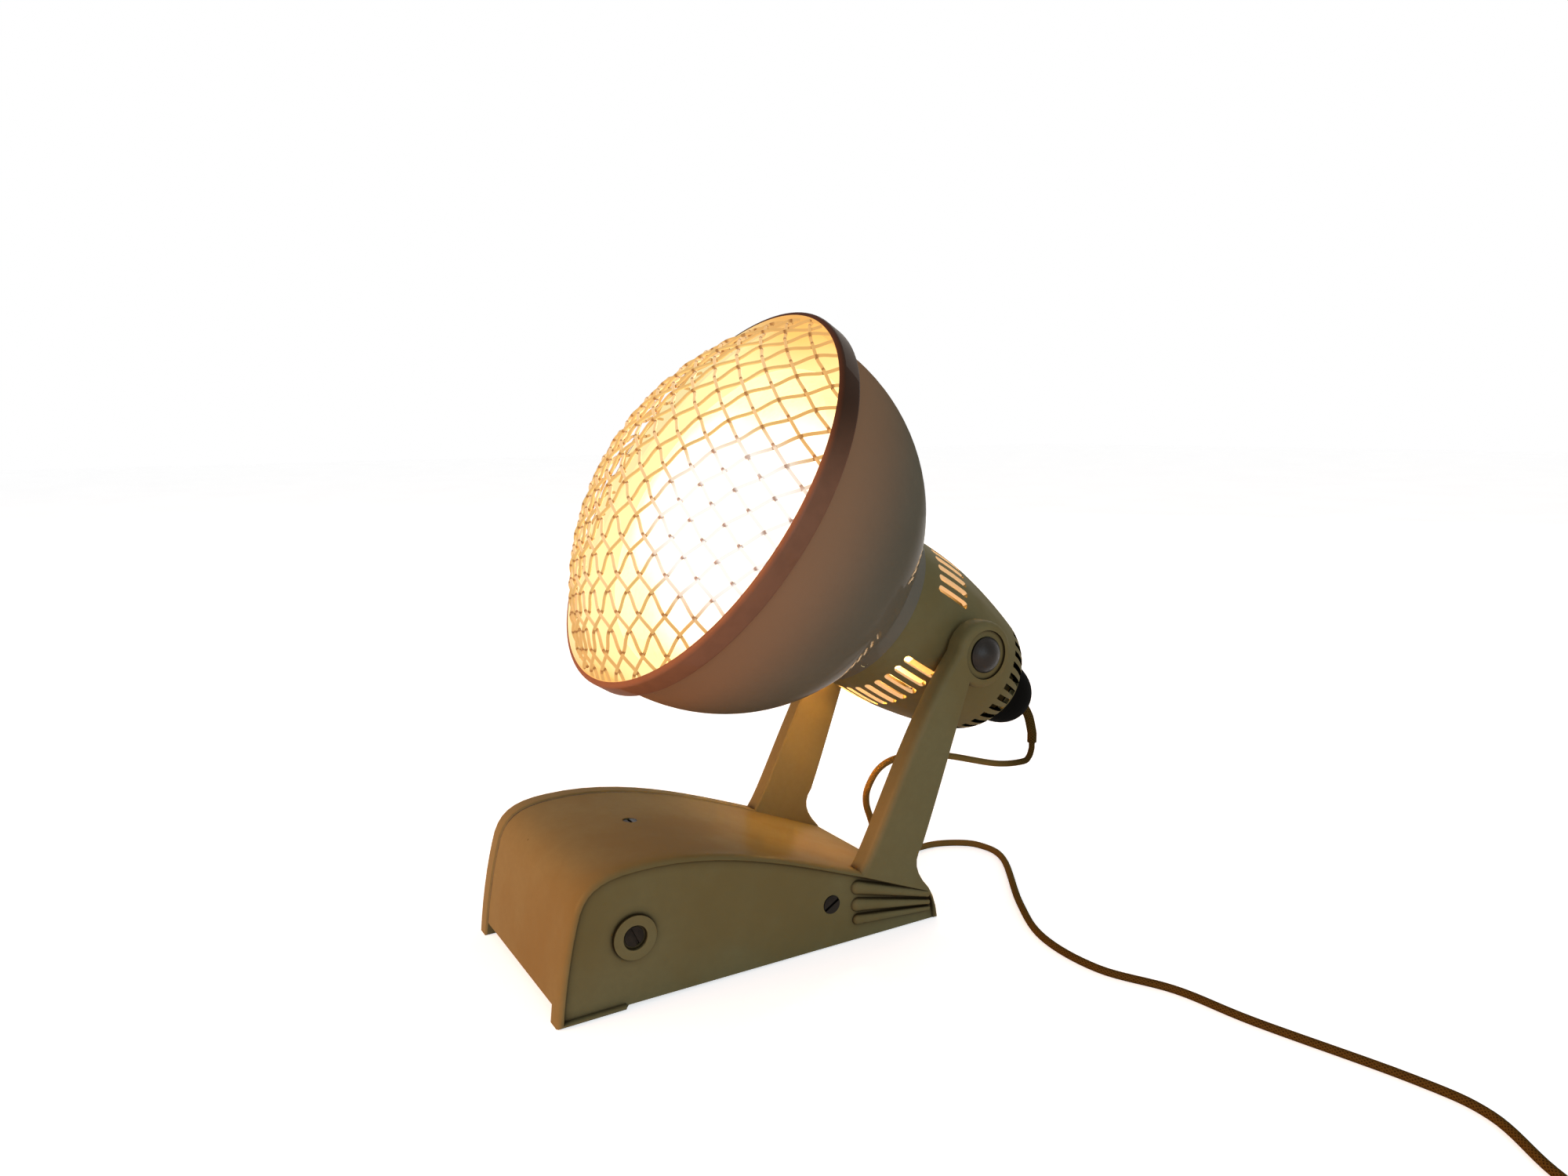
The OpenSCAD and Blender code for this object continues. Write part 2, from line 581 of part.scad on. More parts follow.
// Woven guard: each wire lies on the dome, crimped over and under the wires that it crosses
guard_r = bezel_in_r + 2 * seat_gap;
dome_rise = dome_h + guard_s;
ball_r = (guard_r * guard_r + dome_rise * dome_rise) / (2 * dome_rise);
wire_end_r = bezel_in_r;
crimp = wire_d / 2 + seat_gap / 2;
wire_step = wire_pitch / ball_r * 180 / PI;
wire_max = floor(asin(wire_end_r / ball_r) / wire_step - 0.8);
wires = [-wire_max - 1:wire_max];
function wire_at(i) = ball_r * sin((i + 0.5) * wire_step);
function on_dome(p, q, lift) = let (v = [p, q, -sqrt(ball_r * ball_r - p * p - q * q)])
    v * (1 + lift / ball_r) + [0, 0, guard_s + ball_r - dome_rise];
function lift(i, j, sense) = ((i + j) % 2 == 0 ? 1 : -1) * sense * crimp;
function end_lift(i, at, sense) = let (near = [for (j = wires) if (abs(wire_at(j) - at) < wire_d) j])
    len(near) > 0 ? lift(i, near[0], sense) : 0;
function wire_path(i, sense) = let (q = wire_at(i), e = sqrt(wire_end_r * wire_end_r - q * q)) concat(
    [on_dome(-e, q, end_lift(i, -e, sense))],
    [for (j = wires) if (abs(wire_at(j)) < e - wire_d) on_dome(wire_at(j), q, lift(i, j, sense))],
    [on_dome(e, q, end_lift(i, e, sense))]);
module weave(sense) {
    paths = [for (i = wires) wire_path(i, sense)];
    sides = 6;
    starts = [for (i = 0, n = 0; i < len(paths); n = n + len(paths[i]) * sides, i = i + 1) n];
    polyhedron([for (p = paths) each tube_points(p, wire_d / 2, sides, [0, 0, 1])],
        [for (i = [0:len(paths) - 1]) each tube_faces(len(paths[i]), sides, starts[i])]);
}
module guard_warp() { color("#c9a15a") on_head() rotate([0, 0, weave_turn]) weave(1); }
module guard_weft() {
    color("#c9a15a") on_head() rotate([0, 0, weave_turn + 90]) mirror([0, 1, 0]) weave(-1);
}

// Lamp: reflector bulb in a ceramic screw holder on a plate across the neck
lead_len = 16;
holder_len = 32;
holder_end = head_len - gland_back - lead_len;
cap_s = holder_end - holder_len;
cap_len = 24;
bulb_len = 96;
bulb_bulge = 20;
bulb_s = cap_s - bulb_len;
bulb_front = bulb_s - bulb_bulge;
bulb_throat_r = 20;
bulb_shoulder = 4;
thread_gap = 0.3;
sleeve_wall = 0.6;
tip_h = 1.6;
tip_r = 4.2;
contact_t = 0.8;
bulb_neck_r = lamp_cap_r - sleeve_wall - seat_gap;
function bulb_line(d) = concat(
    bezier([[0, bulb_front + d], [bulb_r * 0.5, bulb_front + d],
        [bulb_r - 0.3 * bulb_bulge - d, bulb_front + 0.3 * bulb_bulge + d],
        [bulb_r - 0.4 * bulb_shoulder - d, bulb_s - bulb_shoulder]], 10),
    [[bulb_r - d, bulb_s], [bulb_r - 0.25 * bulb_shoulder - d, bulb_s + bulb_shoulder]],
    slice(bezier([[bulb_r - 0.25 * bulb_shoulder - d, bulb_s + bulb_shoulder],
        [bulb_r - 1.5 * bulb_shoulder - d, bulb_s + bulb_len / 4],
        [1.2 * bulb_throat_r - d, bulb_s + bulb_len / 2],
        [bulb_throat_r - d, bulb_s + 0.75 * bulb_len]], 10), 1, 10),
    [[bulb_neck_r - d, cap_s - seat_gap], [bulb_neck_r - d, cap_s + cap_len / 4]]);
module bulb_glass() {
    color("#f6e3b4") on_head() rotate_extrude($fn = 96)
        polygon(concat(bulb_line(0), reversed(bulb_line(glass_wall))));
}
module bulb_cap() {
    r = lamp_cap_r - sleeve_wall;
    color("#b08d4a") on_head() translate([0, 0, cap_s]) rotate_extrude() polygon([[r, 0], [lamp_cap_r, 0],
        [lamp_cap_r, cap_len - 3], [6, cap_len], [tip_r + seat_gap, cap_len],
        [tip_r + seat_gap, cap_len - sleeve_wall], [r, cap_len - 3.4]]);
}
module bulb_tip() {
    color("#b08d4a") on_head() translate([0, 0, cap_s + cap_len - tip_h])
        cylinder(h = 2 * tip_h, r = tip_r);
}
holder_screw_r = 12;
holder_screw_d = 3;
holder_grip = 5;
contact_s = cap_s + cap_len + tip_h + seat_gap;
sleeve_in = lamp_cap_r + thread_gap;
module holder_sleeve() {
    color("#b08d4a") on_head() translate([0, 0, cap_s + 1]) difference() {
        cylinder(h = contact_s - cap_s - 1, r = sleeve_in + sleeve_wall);
        translate([0, 0, -overlap]) cylinder(h = holder_len, r = sleeve_in);
    }
}
module holder_contact() {
    color("#b08d4a") on_head() translate([0, 0, contact_s]) cylinder(h = contact_t, r = 5);
}
module holder_body() {
    floor_s = contact_s + contact_t;
    color("#e8e2d2") on_head() translate([0, 0, cap_s]) difference() {
        cylinder(h = holder_len, r = holder_r);
        translate([0, 0, -overlap])
            cylinder(h = floor_s - cap_s + overlap, r = sleeve_in + sleeve_wall + seat_gap);
        for (a = [0, 180]) rotate([0, 0, a])
            translate([holder_screw_r, 0, holder_len - holder_grip - overlap])
            cylinder(h = holder_grip + 2 * overlap, r = holder_screw_d / 2 + run_gap);
    }
}
plate_t = 1.6;
plate_edge = inner_r(holder_end + plate_t - shade_len);
lead_r = 1.1;
lead_x = 3.2;
module holder_plate() {
    color("#a9a7a0") on_head() translate([0, 0, holder_end]) difference() {
        cylinder(h = plate_t, r = plate_edge - clear_gap);
        for (a = [0, 180]) rotate([0, 0, a]) translate([holder_screw_r, 0, -overlap])
            cylinder(h = plate_t + 2 * overlap, r = holder_screw_d / 2 + run_gap);
        for (a = [45:90:315]) rotate([0, 0, a]) translate([plate_edge - 6, 0, -overlap])
            cylinder(h = plate_t + 2 * overlap, r = 3.2);
        for (e = [-1, 1]) translate([e * lead_x, 0, -overlap])
            cylinder(h = plate_t + 2 * overlap, r = lead_r + seat_gap);
    }
}
module holder_screws() {
    color("#8b8a86") on_head() for (a = [0, 180]) rotate([0, 0, a])
        translate([holder_screw_r, 0, holder_end]) {
            translate([0, 0, -holder_grip])
                cylinder(h = holder_grip + plate_t + overlap / 2, r = holder_screw_d / 2);
            translate([0, 0, plate_t]) cylinder(h = plate_t, r = holder_screw_d * 0.9);
        }
}
module lead(e) {
    color(e < 0 ? "#3a5f8a" : "#6b4a2b") on_head() translate([e * lead_x, 0, holder_end])
        cylinder(h = lead_len, r = lead_r);
}
module lead_live() { lead(1); }
module lead_neutral() { lead(-1); }

// Cable gland: a black dome with a spigot and nut through the tail
gland_nut_h = 4;
gland_nut_r = 12.4;
gland_flat_r = 3.4;
gland_full = 0.8;
module cable_gland() {
    a = acos(pow(gland_flat_r / gland_r, 1 / gland_full));
    dome = [for (i = [0:12]) let (t = a * i / 12) [gland_r * pow(cos(t), gland_full),
        head_len + gland_len * pow(sin(t) / sin(a), gland_full)]];
    color("#1e1d1c") on_head() rotate_extrude() polygon(concat([[0, head_len - gland_back],
        [gland_spigot_r, head_len - gland_back], [gland_spigot_r, head_len], [gland_r, head_len]],
        slice(dome, 1, 12), [[0, head_len + gland_len]]));
}
module gland_nut() {
    s = shade_len + tail_floor - gland_nut_h - seat_gap;
    color("#8b8a86") on_head() translate([0, 0, s]) difference() {
        cylinder(h = gland_nut_h, r = gland_nut_r, $fn = 6);
        translate([0, 0, -overlap]) cylinder(h = gland_nut_h + 2 * overlap, r = gland_spigot_r + run_gap);
    }
}

// Cord: the sleeve at the gland, the run down between the arms and over the table, the coil and the plug
head_dir = [0, cos(head_angle), -sin(head_angle)];
gland_tip = [0, pivot_y, pivot_h] + (head_len + gland_len - pivot_s) * head_dir;
lie_h = cord_d / 2 + seat_gap;
sleeve_end = [0, 126.2, 45.5];
sleeve_route = [gland_tip, gland_tip + sleeve_d * head_dir, [0, 124, 57.5],
    sleeve_end + [0, 0, sleeve_d], sleeve_end];
coil_start = [282, 64.5, lie_h];
run_route = [sleeve_end, sleeve_end - [0, 0, cord_d], [0, 124.6, 38.9], [0, 120.4, 37.2], [0, 104.7, 39],
    [0, 78.1, 46.9], [0, 61.4, 50.6], [0, 47.9, 50.7], [0, 39.6, 47.6], [0, 34.5, 40.9], [0, 33.4, 35.3],
    [0, 35, 29.1], [-2, 41.8, 16.1], [-8, 57.3, 4.6], [-14.3, 75.5, lie_h], [-10.6, 89.4, lie_h],
    [-1.4, 97.6, lie_h], [15.8, 95.6, lie_h], [52.7, 70.7, lie_h], [79.7, 57, lie_h], [107.4, 56.1, lie_h],
    [131.8, 67, lie_h], [158.6, 71.8, lie_h], [202.1, 83.2, lie_h], [223.3, 84.4, lie_h],
    [244, 73.5, lie_h], [265, 66.5, lie_h], coil_start - [cord_d, 0, 0], coil_start];
module cord_sleeve() { color("#a98a52") tube(laid(sleeve_route, 2, lie_h), sleeve_d, 8); }
module cord_run() { color("#a98a52") tube(laid(run_route, 3, lie_h), cord_d, 8); }

turn_pitch = cord_d + coil_gap;
coil_r = 8 + coil_loops * turn_pitch;
coil_lead = 6;
coil_turns = 2 * coil_loops + 1;
turn_back = coil_loops + 0.25;
rings_a_loop = 24;
tail_len = 28;
tail_rings = 7;
plug_z = 14;
function coil_at(t) = let (r = coil_r - turn_pitch * (t < turn_back ? t : 2 * turn_back - t),
    a = 360 * t - 90, climb = min(max((t - coil_loops) / 0.5, 0), 1))
    coil_start + [coil_lead + r * cos(a), coil_r + r * sin(a), climb * turn_pitch];
coil_end = coil_at(coil_turns);
plug_at = [coil_end[0] + tail_len, coil_end[1], plug_z];
function ease(t) = t * t * (3 - 2 * t);
coil_tail = [for (i = [1:tail_rings]) let (t = i / tail_rings)
    coil_end + [tail_len * t * 0.9, 0, (plug_z - coil_end[2]) * ease(t)]];
coil_path = concat([coil_start, coil_start + [cord_d, 0, 0]],
    [for (i = [0:coil_turns * rings_a_loop]) coil_at(i / rings_a_loop)], coil_tail, [plug_at]);
coil_skip = 8;
coil_last = len(coil_path) - 1;
coil_least = min([for (i = [0:2:coil_last - coil_skip], j = [i + coil_skip:coil_last])
    norm(coil_path[j] - coil_path[i])]) - cord_d;
echo(coil_least_gap = coil_least);
module cord_coil() { color("#a98a52") tube(coil_path, cord_d, 6, [0, 0, 1]); }

// Two-pin plug at the end of the cord
plug_len = 38;
plug_r = 14;
plug_tail_r = 4.5;
pin_len = 19;
pin_root = 10;
root_r = pin_d / 2 + 0.8;
module plug_body() {
    color("#2b2622") translate(plug_at) rotate([0, 90, 0]) difference() {
        rotate_extrude() polygon(concat([[0, 0], [plug_tail_r, 0]],
            bezier([[plug_tail_r, 4], [plug_tail_r + 1, 14], [plug_r - 1, 16], [plug_r, 26]], 8),
            [[plug_r, plug_len - 1], [plug_r - 1, plug_len], [0, plug_len]]));
        for (e = [-1, 1]) translate([0, e * pin_gap / 2, plug_len - pin_root])
            cylinder(h = pin_root + overlap, r = root_r + seat_gap);
    }
}
module plug_pin(e) {
    color("#b9a36a") translate(plug_at + [plug_len - pin_root, e * pin_gap / 2, 0]) rotate([0, 90, 0]) {
        cylinder(h = pin_root, r = root_r);
        translate([0, 0, pin_root - overlap]) cylinder(h = pin_len + overlap, r = pin_d / 2);
    }
}
module plug_pin_a() { plug_pin(-1); }
module plug_pin_b() { plug_pin(1); }

cheek_left();
cheek_right();
base_shell();
ballast_block();
tie_rod_front();
tie_rod_rear();
front_screw_left();
front_screw_right();
rear_screw_left();
rear_screw_right();
top_screw();
pivot_bolt_left();
pivot_bolt_right();
pivot_cap_left();
pivot_cap_right();
friction_washer_left();
friction_washer_right();
spring_washer_left();
spring_washer_right();
pivot_nut_left();
pivot_nut_right();
shade();
bezel_ring();
guard_warp();
guard_weft();
neck_housing();
collar_rivets();
holder_body();
holder_sleeve();
holder_contact();
holder_plate();
holder_screws();
bulb_glass();
bulb_cap();
bulb_tip();
lead_live();
lead_neutral();
cable_gland();
gland_nut();
cord_sleeve();
cord_run();
cord_coil();
plug_body();
plug_pin_a();
plug_pin_b();
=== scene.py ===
import json
import math

import bmesh
import bpy
from bpy.props import FloatProperty, FloatVectorProperty, IntProperty, PointerProperty
from mathutils import Matrix, Vector


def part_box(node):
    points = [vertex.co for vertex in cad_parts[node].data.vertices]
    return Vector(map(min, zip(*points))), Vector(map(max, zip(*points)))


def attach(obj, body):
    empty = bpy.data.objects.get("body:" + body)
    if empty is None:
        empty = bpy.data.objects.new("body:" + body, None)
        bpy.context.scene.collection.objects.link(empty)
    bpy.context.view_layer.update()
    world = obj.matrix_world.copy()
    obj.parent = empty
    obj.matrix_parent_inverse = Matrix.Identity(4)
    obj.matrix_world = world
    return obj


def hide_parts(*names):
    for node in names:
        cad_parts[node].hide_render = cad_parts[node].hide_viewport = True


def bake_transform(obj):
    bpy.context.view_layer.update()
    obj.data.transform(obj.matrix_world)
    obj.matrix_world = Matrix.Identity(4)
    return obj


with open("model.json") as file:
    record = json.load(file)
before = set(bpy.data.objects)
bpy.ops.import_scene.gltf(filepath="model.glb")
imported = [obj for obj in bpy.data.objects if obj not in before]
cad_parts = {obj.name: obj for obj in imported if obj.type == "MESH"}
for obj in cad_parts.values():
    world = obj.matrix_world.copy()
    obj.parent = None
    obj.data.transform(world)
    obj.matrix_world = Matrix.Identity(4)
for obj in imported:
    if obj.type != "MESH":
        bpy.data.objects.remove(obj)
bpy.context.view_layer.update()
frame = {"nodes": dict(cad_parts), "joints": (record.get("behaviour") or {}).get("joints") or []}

bl_info = {
    "name": "Table Heat Lamp",
    "version": (1, 0, 0),
    "blender": (4, 5, 0),
    "location": "View3D > Sidebar > Heat Lamp",
    "description": "Dresses the packed heat lamp: woven guard, braided cord, finishes, light and camera",
    "category": "Object",
}

NODES = frame["nodes"]
HINGE = frame["joints"][0]
PIVOT = Vector(HINGE["pos_m"])
HEAD_ANGLE = math.radians(32.2)
HEAD_AXIS = Vector((0, math.cos(HEAD_ANGLE), -math.sin(HEAD_ANGLE)))
PIVOT_BACK = 0.1204
RIM_CENTRE = PIVOT - PIVOT_BACK * HEAD_AXIS
HEAD = (Matrix.Translation(PIVOT) @ Matrix.Rotation(-math.pi / 2 - HEAD_ANGLE, 4, "X")
        @ Matrix.Translation((0, 0, -PIVOT_BACK)))


def srgb(r, g, b):
    """A colour picked on screen, 0 to 255, as scene values."""
    return tuple(c / 12.92 if c <= 0.04045 else ((c + 0.055) / 1.055) ** 2.4
                 for c in (r / 255, g / 255, b / 255))


def colour(name, description, r, g, b):
    return FloatVectorProperty(name=name, description=description, subtype="COLOR", size=3,
                               min=0, max=1, default=srgb(r, g, b))


def length(name, description, metres):
    return FloatProperty(name=name, description=description, default=metres, min=0,
                         unit="LENGTH", precision=5)


class LampGuardSettings(bpy.types.PropertyGroup):
    """Sizes of the woven guard"""
    wire: length("Wire", "Diameter of the guard wire", 0.0012)
    pitch: length("Pitch", "Distance between two wires along the dome", 0.0088)
    rise: length("Rise", "Height of the dome above the wires' ends", 0.0313)
    seat: length("Seat", "Radius at which the wires meet the bezel", 0.0754)
    reach: length("Reach", "Radius of the wires' ends inside the bezel", 0.0752)
    depth: length("Depth", "Place of the wires' seat behind the rim plane", 0.002)
    turn: FloatProperty(name="Turn", description="Turn of the weave about the head's axis",
                        subtype="ANGLE", default=math.radians(36.5))
    bronze: colour("Bronze", "Colour of the wire", 84, 56, 28)
    warp: colour("Warp", "Warp wire that glows in front of the bulb", 243, 204, 148)
    weft: colour("Weft", "Weft wire that glows in front of the bulb", 222, 184, 116)
    rim: colour("Rim wire", "Wire near the bezel, lit from inside", 226, 176, 106)
    knot: colour("Knot", "Wire where two wires cross", 134, 78, 40)
    hot: FloatVectorProperty(name="Hot", description="Middle of what the filament washes out",
                             subtype="TRANSLATION", size=3, default=(0.0569, -0.0606, 0.1605))


class LampCordSettings(bpy.types.PropertyGroup):
    """Sizes of the cord"""
    diameter: length("Diameter", "Diameter of the cord", 0.0028)
    sleeve: length("Sleeve", "Diameter of the sleeve at the gland", 0.0042)
    strands: IntProperty(name="Strands", description="Strands round the braid", default=8, min=4, max=16)
    loops: IntProperty(name="Loops", description="Loops in each layer of the coil", default=5, min=3, max=6)
    gap: length("Gap", "Free gap between turns of the coil", 0.0006)
    tan: colour("Tan", "Main colour of the braid", 84, 65, 29)
    brown: colour("Brown", "Colour between the strands", 48, 33, 13)
    # Painted light: the braid near the lamp is lighter where the glow from the slots falls.
    clean: colour("Clean", "Braid near the lamp, which is less soiled", 150, 119, 64)


class LampFinishSettings(bpy.types.PropertyGroup):
    """Colours of the finishes"""
    cream: colour("Cream", "Moulded base, arms and neck", 122, 112, 75)
    cream_aged: colour("Aged cream", "Yellowed patches of the moulding", 117, 102, 62)
    # Soiling in the grooves; the cream moulding also uses it as painted shade in its hollows.
    grime_and_shade: colour("Grime", "Dirt in the grooves", 44, 33, 17)
    enamel: colour("Enamel", "Outside of the shade", 111, 104, 87)
    # A heat tint with painted warm light, laid on the shade towards the bezel.
    rim_tint_and_warm_light: colour("Warm enamel", "Shade near the bezel", 160, 119, 86)
    bezel: colour("Bezel", "Ring round the guard", 132, 92, 68)
    # Painted shade for the ring's upper side, where less light falls.
    bezel_painted_shade: colour("Dark bezel", "Upper side of the ring, which is browned by heat", 60, 37, 22)
    steel: colour("Steel", "Plain steel pieces", 140, 137, 132)
    dull_steel: colour("Dull steel", "Pressed caps of the pivots", 45, 41, 37)
    screw: colour("Screw", "Tarnished screws", 34, 30, 25)
    brass: colour("Brass", "Contacts and plug pins", 176, 142, 78)
    black: colour("Black", "Cable gland", 9, 8, 6)
    brown: colour("Brown", "Plug", 46, 36, 30)
    ceramic: colour("Ceramic", "Lampholder", 222, 216, 200)
    iron: colour("Iron", "Ballast weight", 62, 61, 60)
    fibre: colour("Fibre", "Friction washers", 92, 70, 50)
    lead: colour("Lead", "Insulated leads", 84, 66, 46)


class LampLightSettings(bpy.types.PropertyGroup):
    """Light of the bulb and of the studio"""
    hot: colour("Hot", "Middle of the lit bulb", 255, 255, 250)
    glow: colour("Glow", "Lit bulb away from its middle", 255, 241, 178)
    edge: colour("Edge", "Edge of the lit bulb and the shade's inside", 255, 234, 164)
    ember: colour("Ember", "Glow inside the shade's rim", 250, 190, 106)
    slots: colour("Slots", "Glow inside the neck, seen through its slots", 190, 157, 121)
    beam: FloatProperty(name="Beam", description="Power of the bulb's forward light", default=0.35,
                        unit="POWER")
    leak: FloatProperty(name="Leak", description="Power of the light that leaves through the slots",
                        default=0.42, unit="POWER")
    front: FloatProperty(name="Front", description="Power of the warm soft lamp before the lamp's face",
                         default=30.0, unit="POWER")
    side: FloatProperty(name="Side", description="Power of the cool soft lamp on the lamp's right",
                        default=8.0, unit="POWER")
    back: FloatProperty(name="Back", description="Power of the soft lamp behind the lamp", default=8.0,
                        unit="POWER")
    room: FloatProperty(name="Room", description="Strength of the even light all round", default=0.34)
    table: FloatProperty(name="Table", default=0.66,
                         description="How much the table is lifted towards white where it is seen")


def add(tree, kind, inputs=None, **settings):
    """A shader node with its settings, whose inputs take a value or another node's output."""
    node = tree.nodes.new(kind)
    for key, value in settings.items():
        setattr(node, key, value)
    for key, value in (inputs or {}).items():
        if isinstance(value, bpy.types.NodeSocket):
            tree.links.new(value, node.inputs[key])
        else:
            node.inputs[key].default_value = value
    return node


def maths(tree, operation, a, b=0.5, c=None):
    inputs = {0: a, 1: b} if c is None else {0: a, 1: b, 2: c}
    return add(tree, "ShaderNodeMath", inputs, operation=operation).outputs[0]


def vectors(tree, operation, a, b, output=0):
    """Vector arithmetic; a distance, a length or a dot product comes out as "Value"."""
    return add(tree, "ShaderNodeVectorMath", {0: a, 1: b}, operation=operation).outputs[output]


def scaled(tree, vector, factor):
    return add(tree, "ShaderNodeVectorMath", {0: vector, "Scale": factor}, operation="SCALE").outputs[0]


def blended(tree, factor, a, b):
    """From colour a to colour b by the factor."""
    node = add(tree, "ShaderNodeMix", {0: factor}, data_type="RGBA")
    for index, value in ((6, a), (7, b)):
        if isinstance(value, bpy.types.NodeSocket):
            tree.links.new(value, node.inputs[index])
        else:
            node.inputs[index].default_value = (*value, 1)[:4]
    return node.outputs[2]


def ranged(tree, value, low, high, out_low=0.0, out_high=1.0):
    """The value eased from one range into another."""
    return add(tree, "ShaderNodeMapRange", {0: value, 1: low, 2: high, 3: out_low, 4: out_high},
               interpolation_type="SMOOTHSTEP").outputs[0]


def noise(tree, vector, scale, detail=2.0, roughness=0.5):
    return add(tree, "ShaderNodeTexNoise", {"Vector": vector, "Scale": scale, "Detail": detail,
                                            "Roughness": roughness}).outputs[0]


def effect(name, inputs, outputs):
    """An empty node group with named sockets; returns it with its input and output nodes."""
    tree = bpy.data.node_groups.new(name, "ShaderNodeTree")
    for label, kind, value in inputs:
        socket = tree.interface.new_socket(label, in_out="INPUT", socket_type="NodeSocket" + kind)
        socket.default_value = value
    for label, kind in outputs:
        tree.interface.new_socket(label, in_out="OUTPUT", socket_type="NodeSocket" + kind)
    return tree, tree.nodes.new("NodeGroupInput").outputs, tree.nodes.new("NodeGroupOutput").inputs


def object_place(tree):
    return tree.nodes.new("ShaderNodeTexCoord").outputs["Object"]


def object_map(tree):
    return tree.nodes.new("ShaderNodeTexCoord").outputs["UV"]


def ageing_effect():
    """Slow patches, fine mottle and small specks, for mouldings and paint."""
    tree, given, put = effect("ageing", [("Patch Size", "Float", 18.0), ("Mottle Size", "Float", 420.0),
                                        ("Specks Per Metre", "Float", 80.0)],
                              [("Patches", "Float"), ("Mottle", "Float"), ("Specks", "Float")])
    place = object_place(tree)
    patches = noise(tree, place, given["Patch Size"], 4.0, 0.55)
    fine = noise(tree, place, given["Mottle Size"], 2.0, 0.6)
    cells = add(tree, "ShaderNodeTexVoronoi", {"Vector": place, "Scale": given["Specks Per Metre"]}).outputs
    drawn = add(tree, "ShaderNodeSeparateColor", {0: cells["Color"]}).outputs[0]
    few = maths(tree, "GREATER_THAN", drawn, 0.72)
    dots = maths(tree, "MULTIPLY", few, ranged(tree, cells["Distance"], 0.018, 0.045, 1.0, 0.0))
    tree.links.new(ranged(tree, patches, 0.38, 0.66), put["Patches"])
    tree.links.new(fine, put["Mottle"])
    tree.links.new(dots, put["Specks"])
    return tree


def moulding_effect():
    """Faint ripple and fine grain of a moulded or sprayed surface, as a height."""
    tree, given, put = effect("moulded surface", [("Ripple", "Float", 90.0), ("Grain", "Float", 1500.0)],
                              [("Height", "Float")])
    place = object_place(tree)
    ripple = noise(tree, place, given["Ripple"], 1.0)
    grain = noise(tree, place, given["Grain"], 1.0)
    tree.links.new(maths(tree, "MULTIPLY_ADD", grain, 0.35, ripple), put["Height"])
    return tree


def scratch_effect():
    """Fine lines left by turning or rubbing, with tarnish between them, for metal."""
    tree, given, put = effect("rubbed metal", [("Stretch", "Vector", (1.0, 14.0, 14.0)),
                                               ("Line Size", "Float", 120.0)],
                              [("Lines", "Float"), ("Tarnish", "Float")])
    place = object_place(tree)
    drawn = vectors(tree, "MULTIPLY", place, given["Stretch"])
    tree.links.new(noise(tree, drawn, given["Line Size"], 3.0, 0.6), put["Lines"])
    tree.links.new(ranged(tree, noise(tree, place, 160.0, 3.0), 0.4, 0.68), put["Tarnish"])
    return tree


def head_effect():
    """Distance behind the rim plane, distance from the head's axis and which way the surface faces."""
    tree, _, put = effect("head place", [], [("Depth", "Float"), ("Radius", "Float"), ("Inside", "Float")])
    coordinate = tree.nodes.new("ShaderNodeTexCoord").outputs
    arm = vectors(tree, "SUBTRACT", coordinate["Object"], RIM_CENTRE)
    depth = vectors(tree, "DOT_PRODUCT", arm, HEAD_AXIS, "Value")
    spoke = vectors(tree, "SUBTRACT", arm, scaled(tree, HEAD_AXIS, depth))
    facing = vectors(tree, "DOT_PRODUCT", spoke, coordinate["Normal"], "Value")
    tree.links.new(depth, put["Depth"])
    tree.links.new(vectors(tree, "DISTANCE", spoke, (0, 0, 0), "Value"), put["Radius"])
    tree.links.new(maths(tree, "LESS_THAN", facing, -0.0005), put["Inside"])
    return tree


def braid_effect():
    """Two sets of strands that cross round a cord, from its own map: once round, and metres along."""
    tree, given, put = effect("braid", [("Strands", "Float", 8.0), ("Lay", "Float", 0.006)],
                              [("Height", "Float"), ("Cross", "Float"), ("Fuzz", "Float")])
    coordinate = tree.nodes.new("ShaderNodeTexCoord").outputs
    chart = add(tree, "ShaderNodeSeparateXYZ", {0: coordinate["UV"]}).outputs
    turns = maths(tree, "MULTIPLY", chart[0], given["Strands"])
    along = maths(tree, "DIVIDE", chart[1], given["Lay"])
    along = maths(tree, "MULTIPLY", along, given["Strands"])
    waves = []
    for operation in ("ADD", "SUBTRACT"):
        angle = maths(tree, "MULTIPLY", maths(tree, operation, turns, along), 2 * math.pi)
        waves.append(maths(tree, "MULTIPLY_ADD", maths(tree, "SINE", angle), 0.5, 0.5))
    tree.links.new(maths(tree, "MAXIMUM", *waves), put["Height"])
    tree.links.new(maths(tree, "MULTIPLY", *waves), put["Cross"])
    tree.links.new(noise(tree, coordinate["Object"], 900.0, 3.0, 0.7), put["Fuzz"])
    return tree


EFFECTS = {}


def placed(tree, name, **values):
    """One of the shared effects, put into a material with its own values."""
    makers = {"ageing": ageing_effect, "moulded surface": moulding_effect, "rubbed metal": scratch_effect,
              "head place": head_effect, "braid": braid_effect}
    if name not in EFFECTS:
        EFFECTS[name] = makers[name]()
    node = tree.nodes.new("ShaderNodeGroup")
    node.node_tree = EFFECTS[name]
    for key, value in values.items():
        node.inputs[key.replace("_", " ").title()].default_value = value
    return node.outputs


def finish_of(name):
    """A new material with an empty Principled shader; returns the material, its tree and its shader."""
    material = bpy.data.materials.new(name)
    material.use_nodes = True
    tree = material.node_tree
    return material, tree, tree.nodes["Principled BSDF"]


def bumped(tree, shader, height, strength, distance):
    bump = add(tree, "ShaderNodeBump", {"Height": height, "Strength": strength, "Distance": distance})
    tree.links.new(bump.outputs[0], shader.inputs["Normal"])


def recoloured(tree, shader, factor, tone):
    """Lays a tone over what the shader's base colour already shows."""
    plain = shader.inputs["Base Color"].links[0].from_socket
    tree.links.new(blended(tree, factor, plain, tone), shader.inputs["Base Color"])


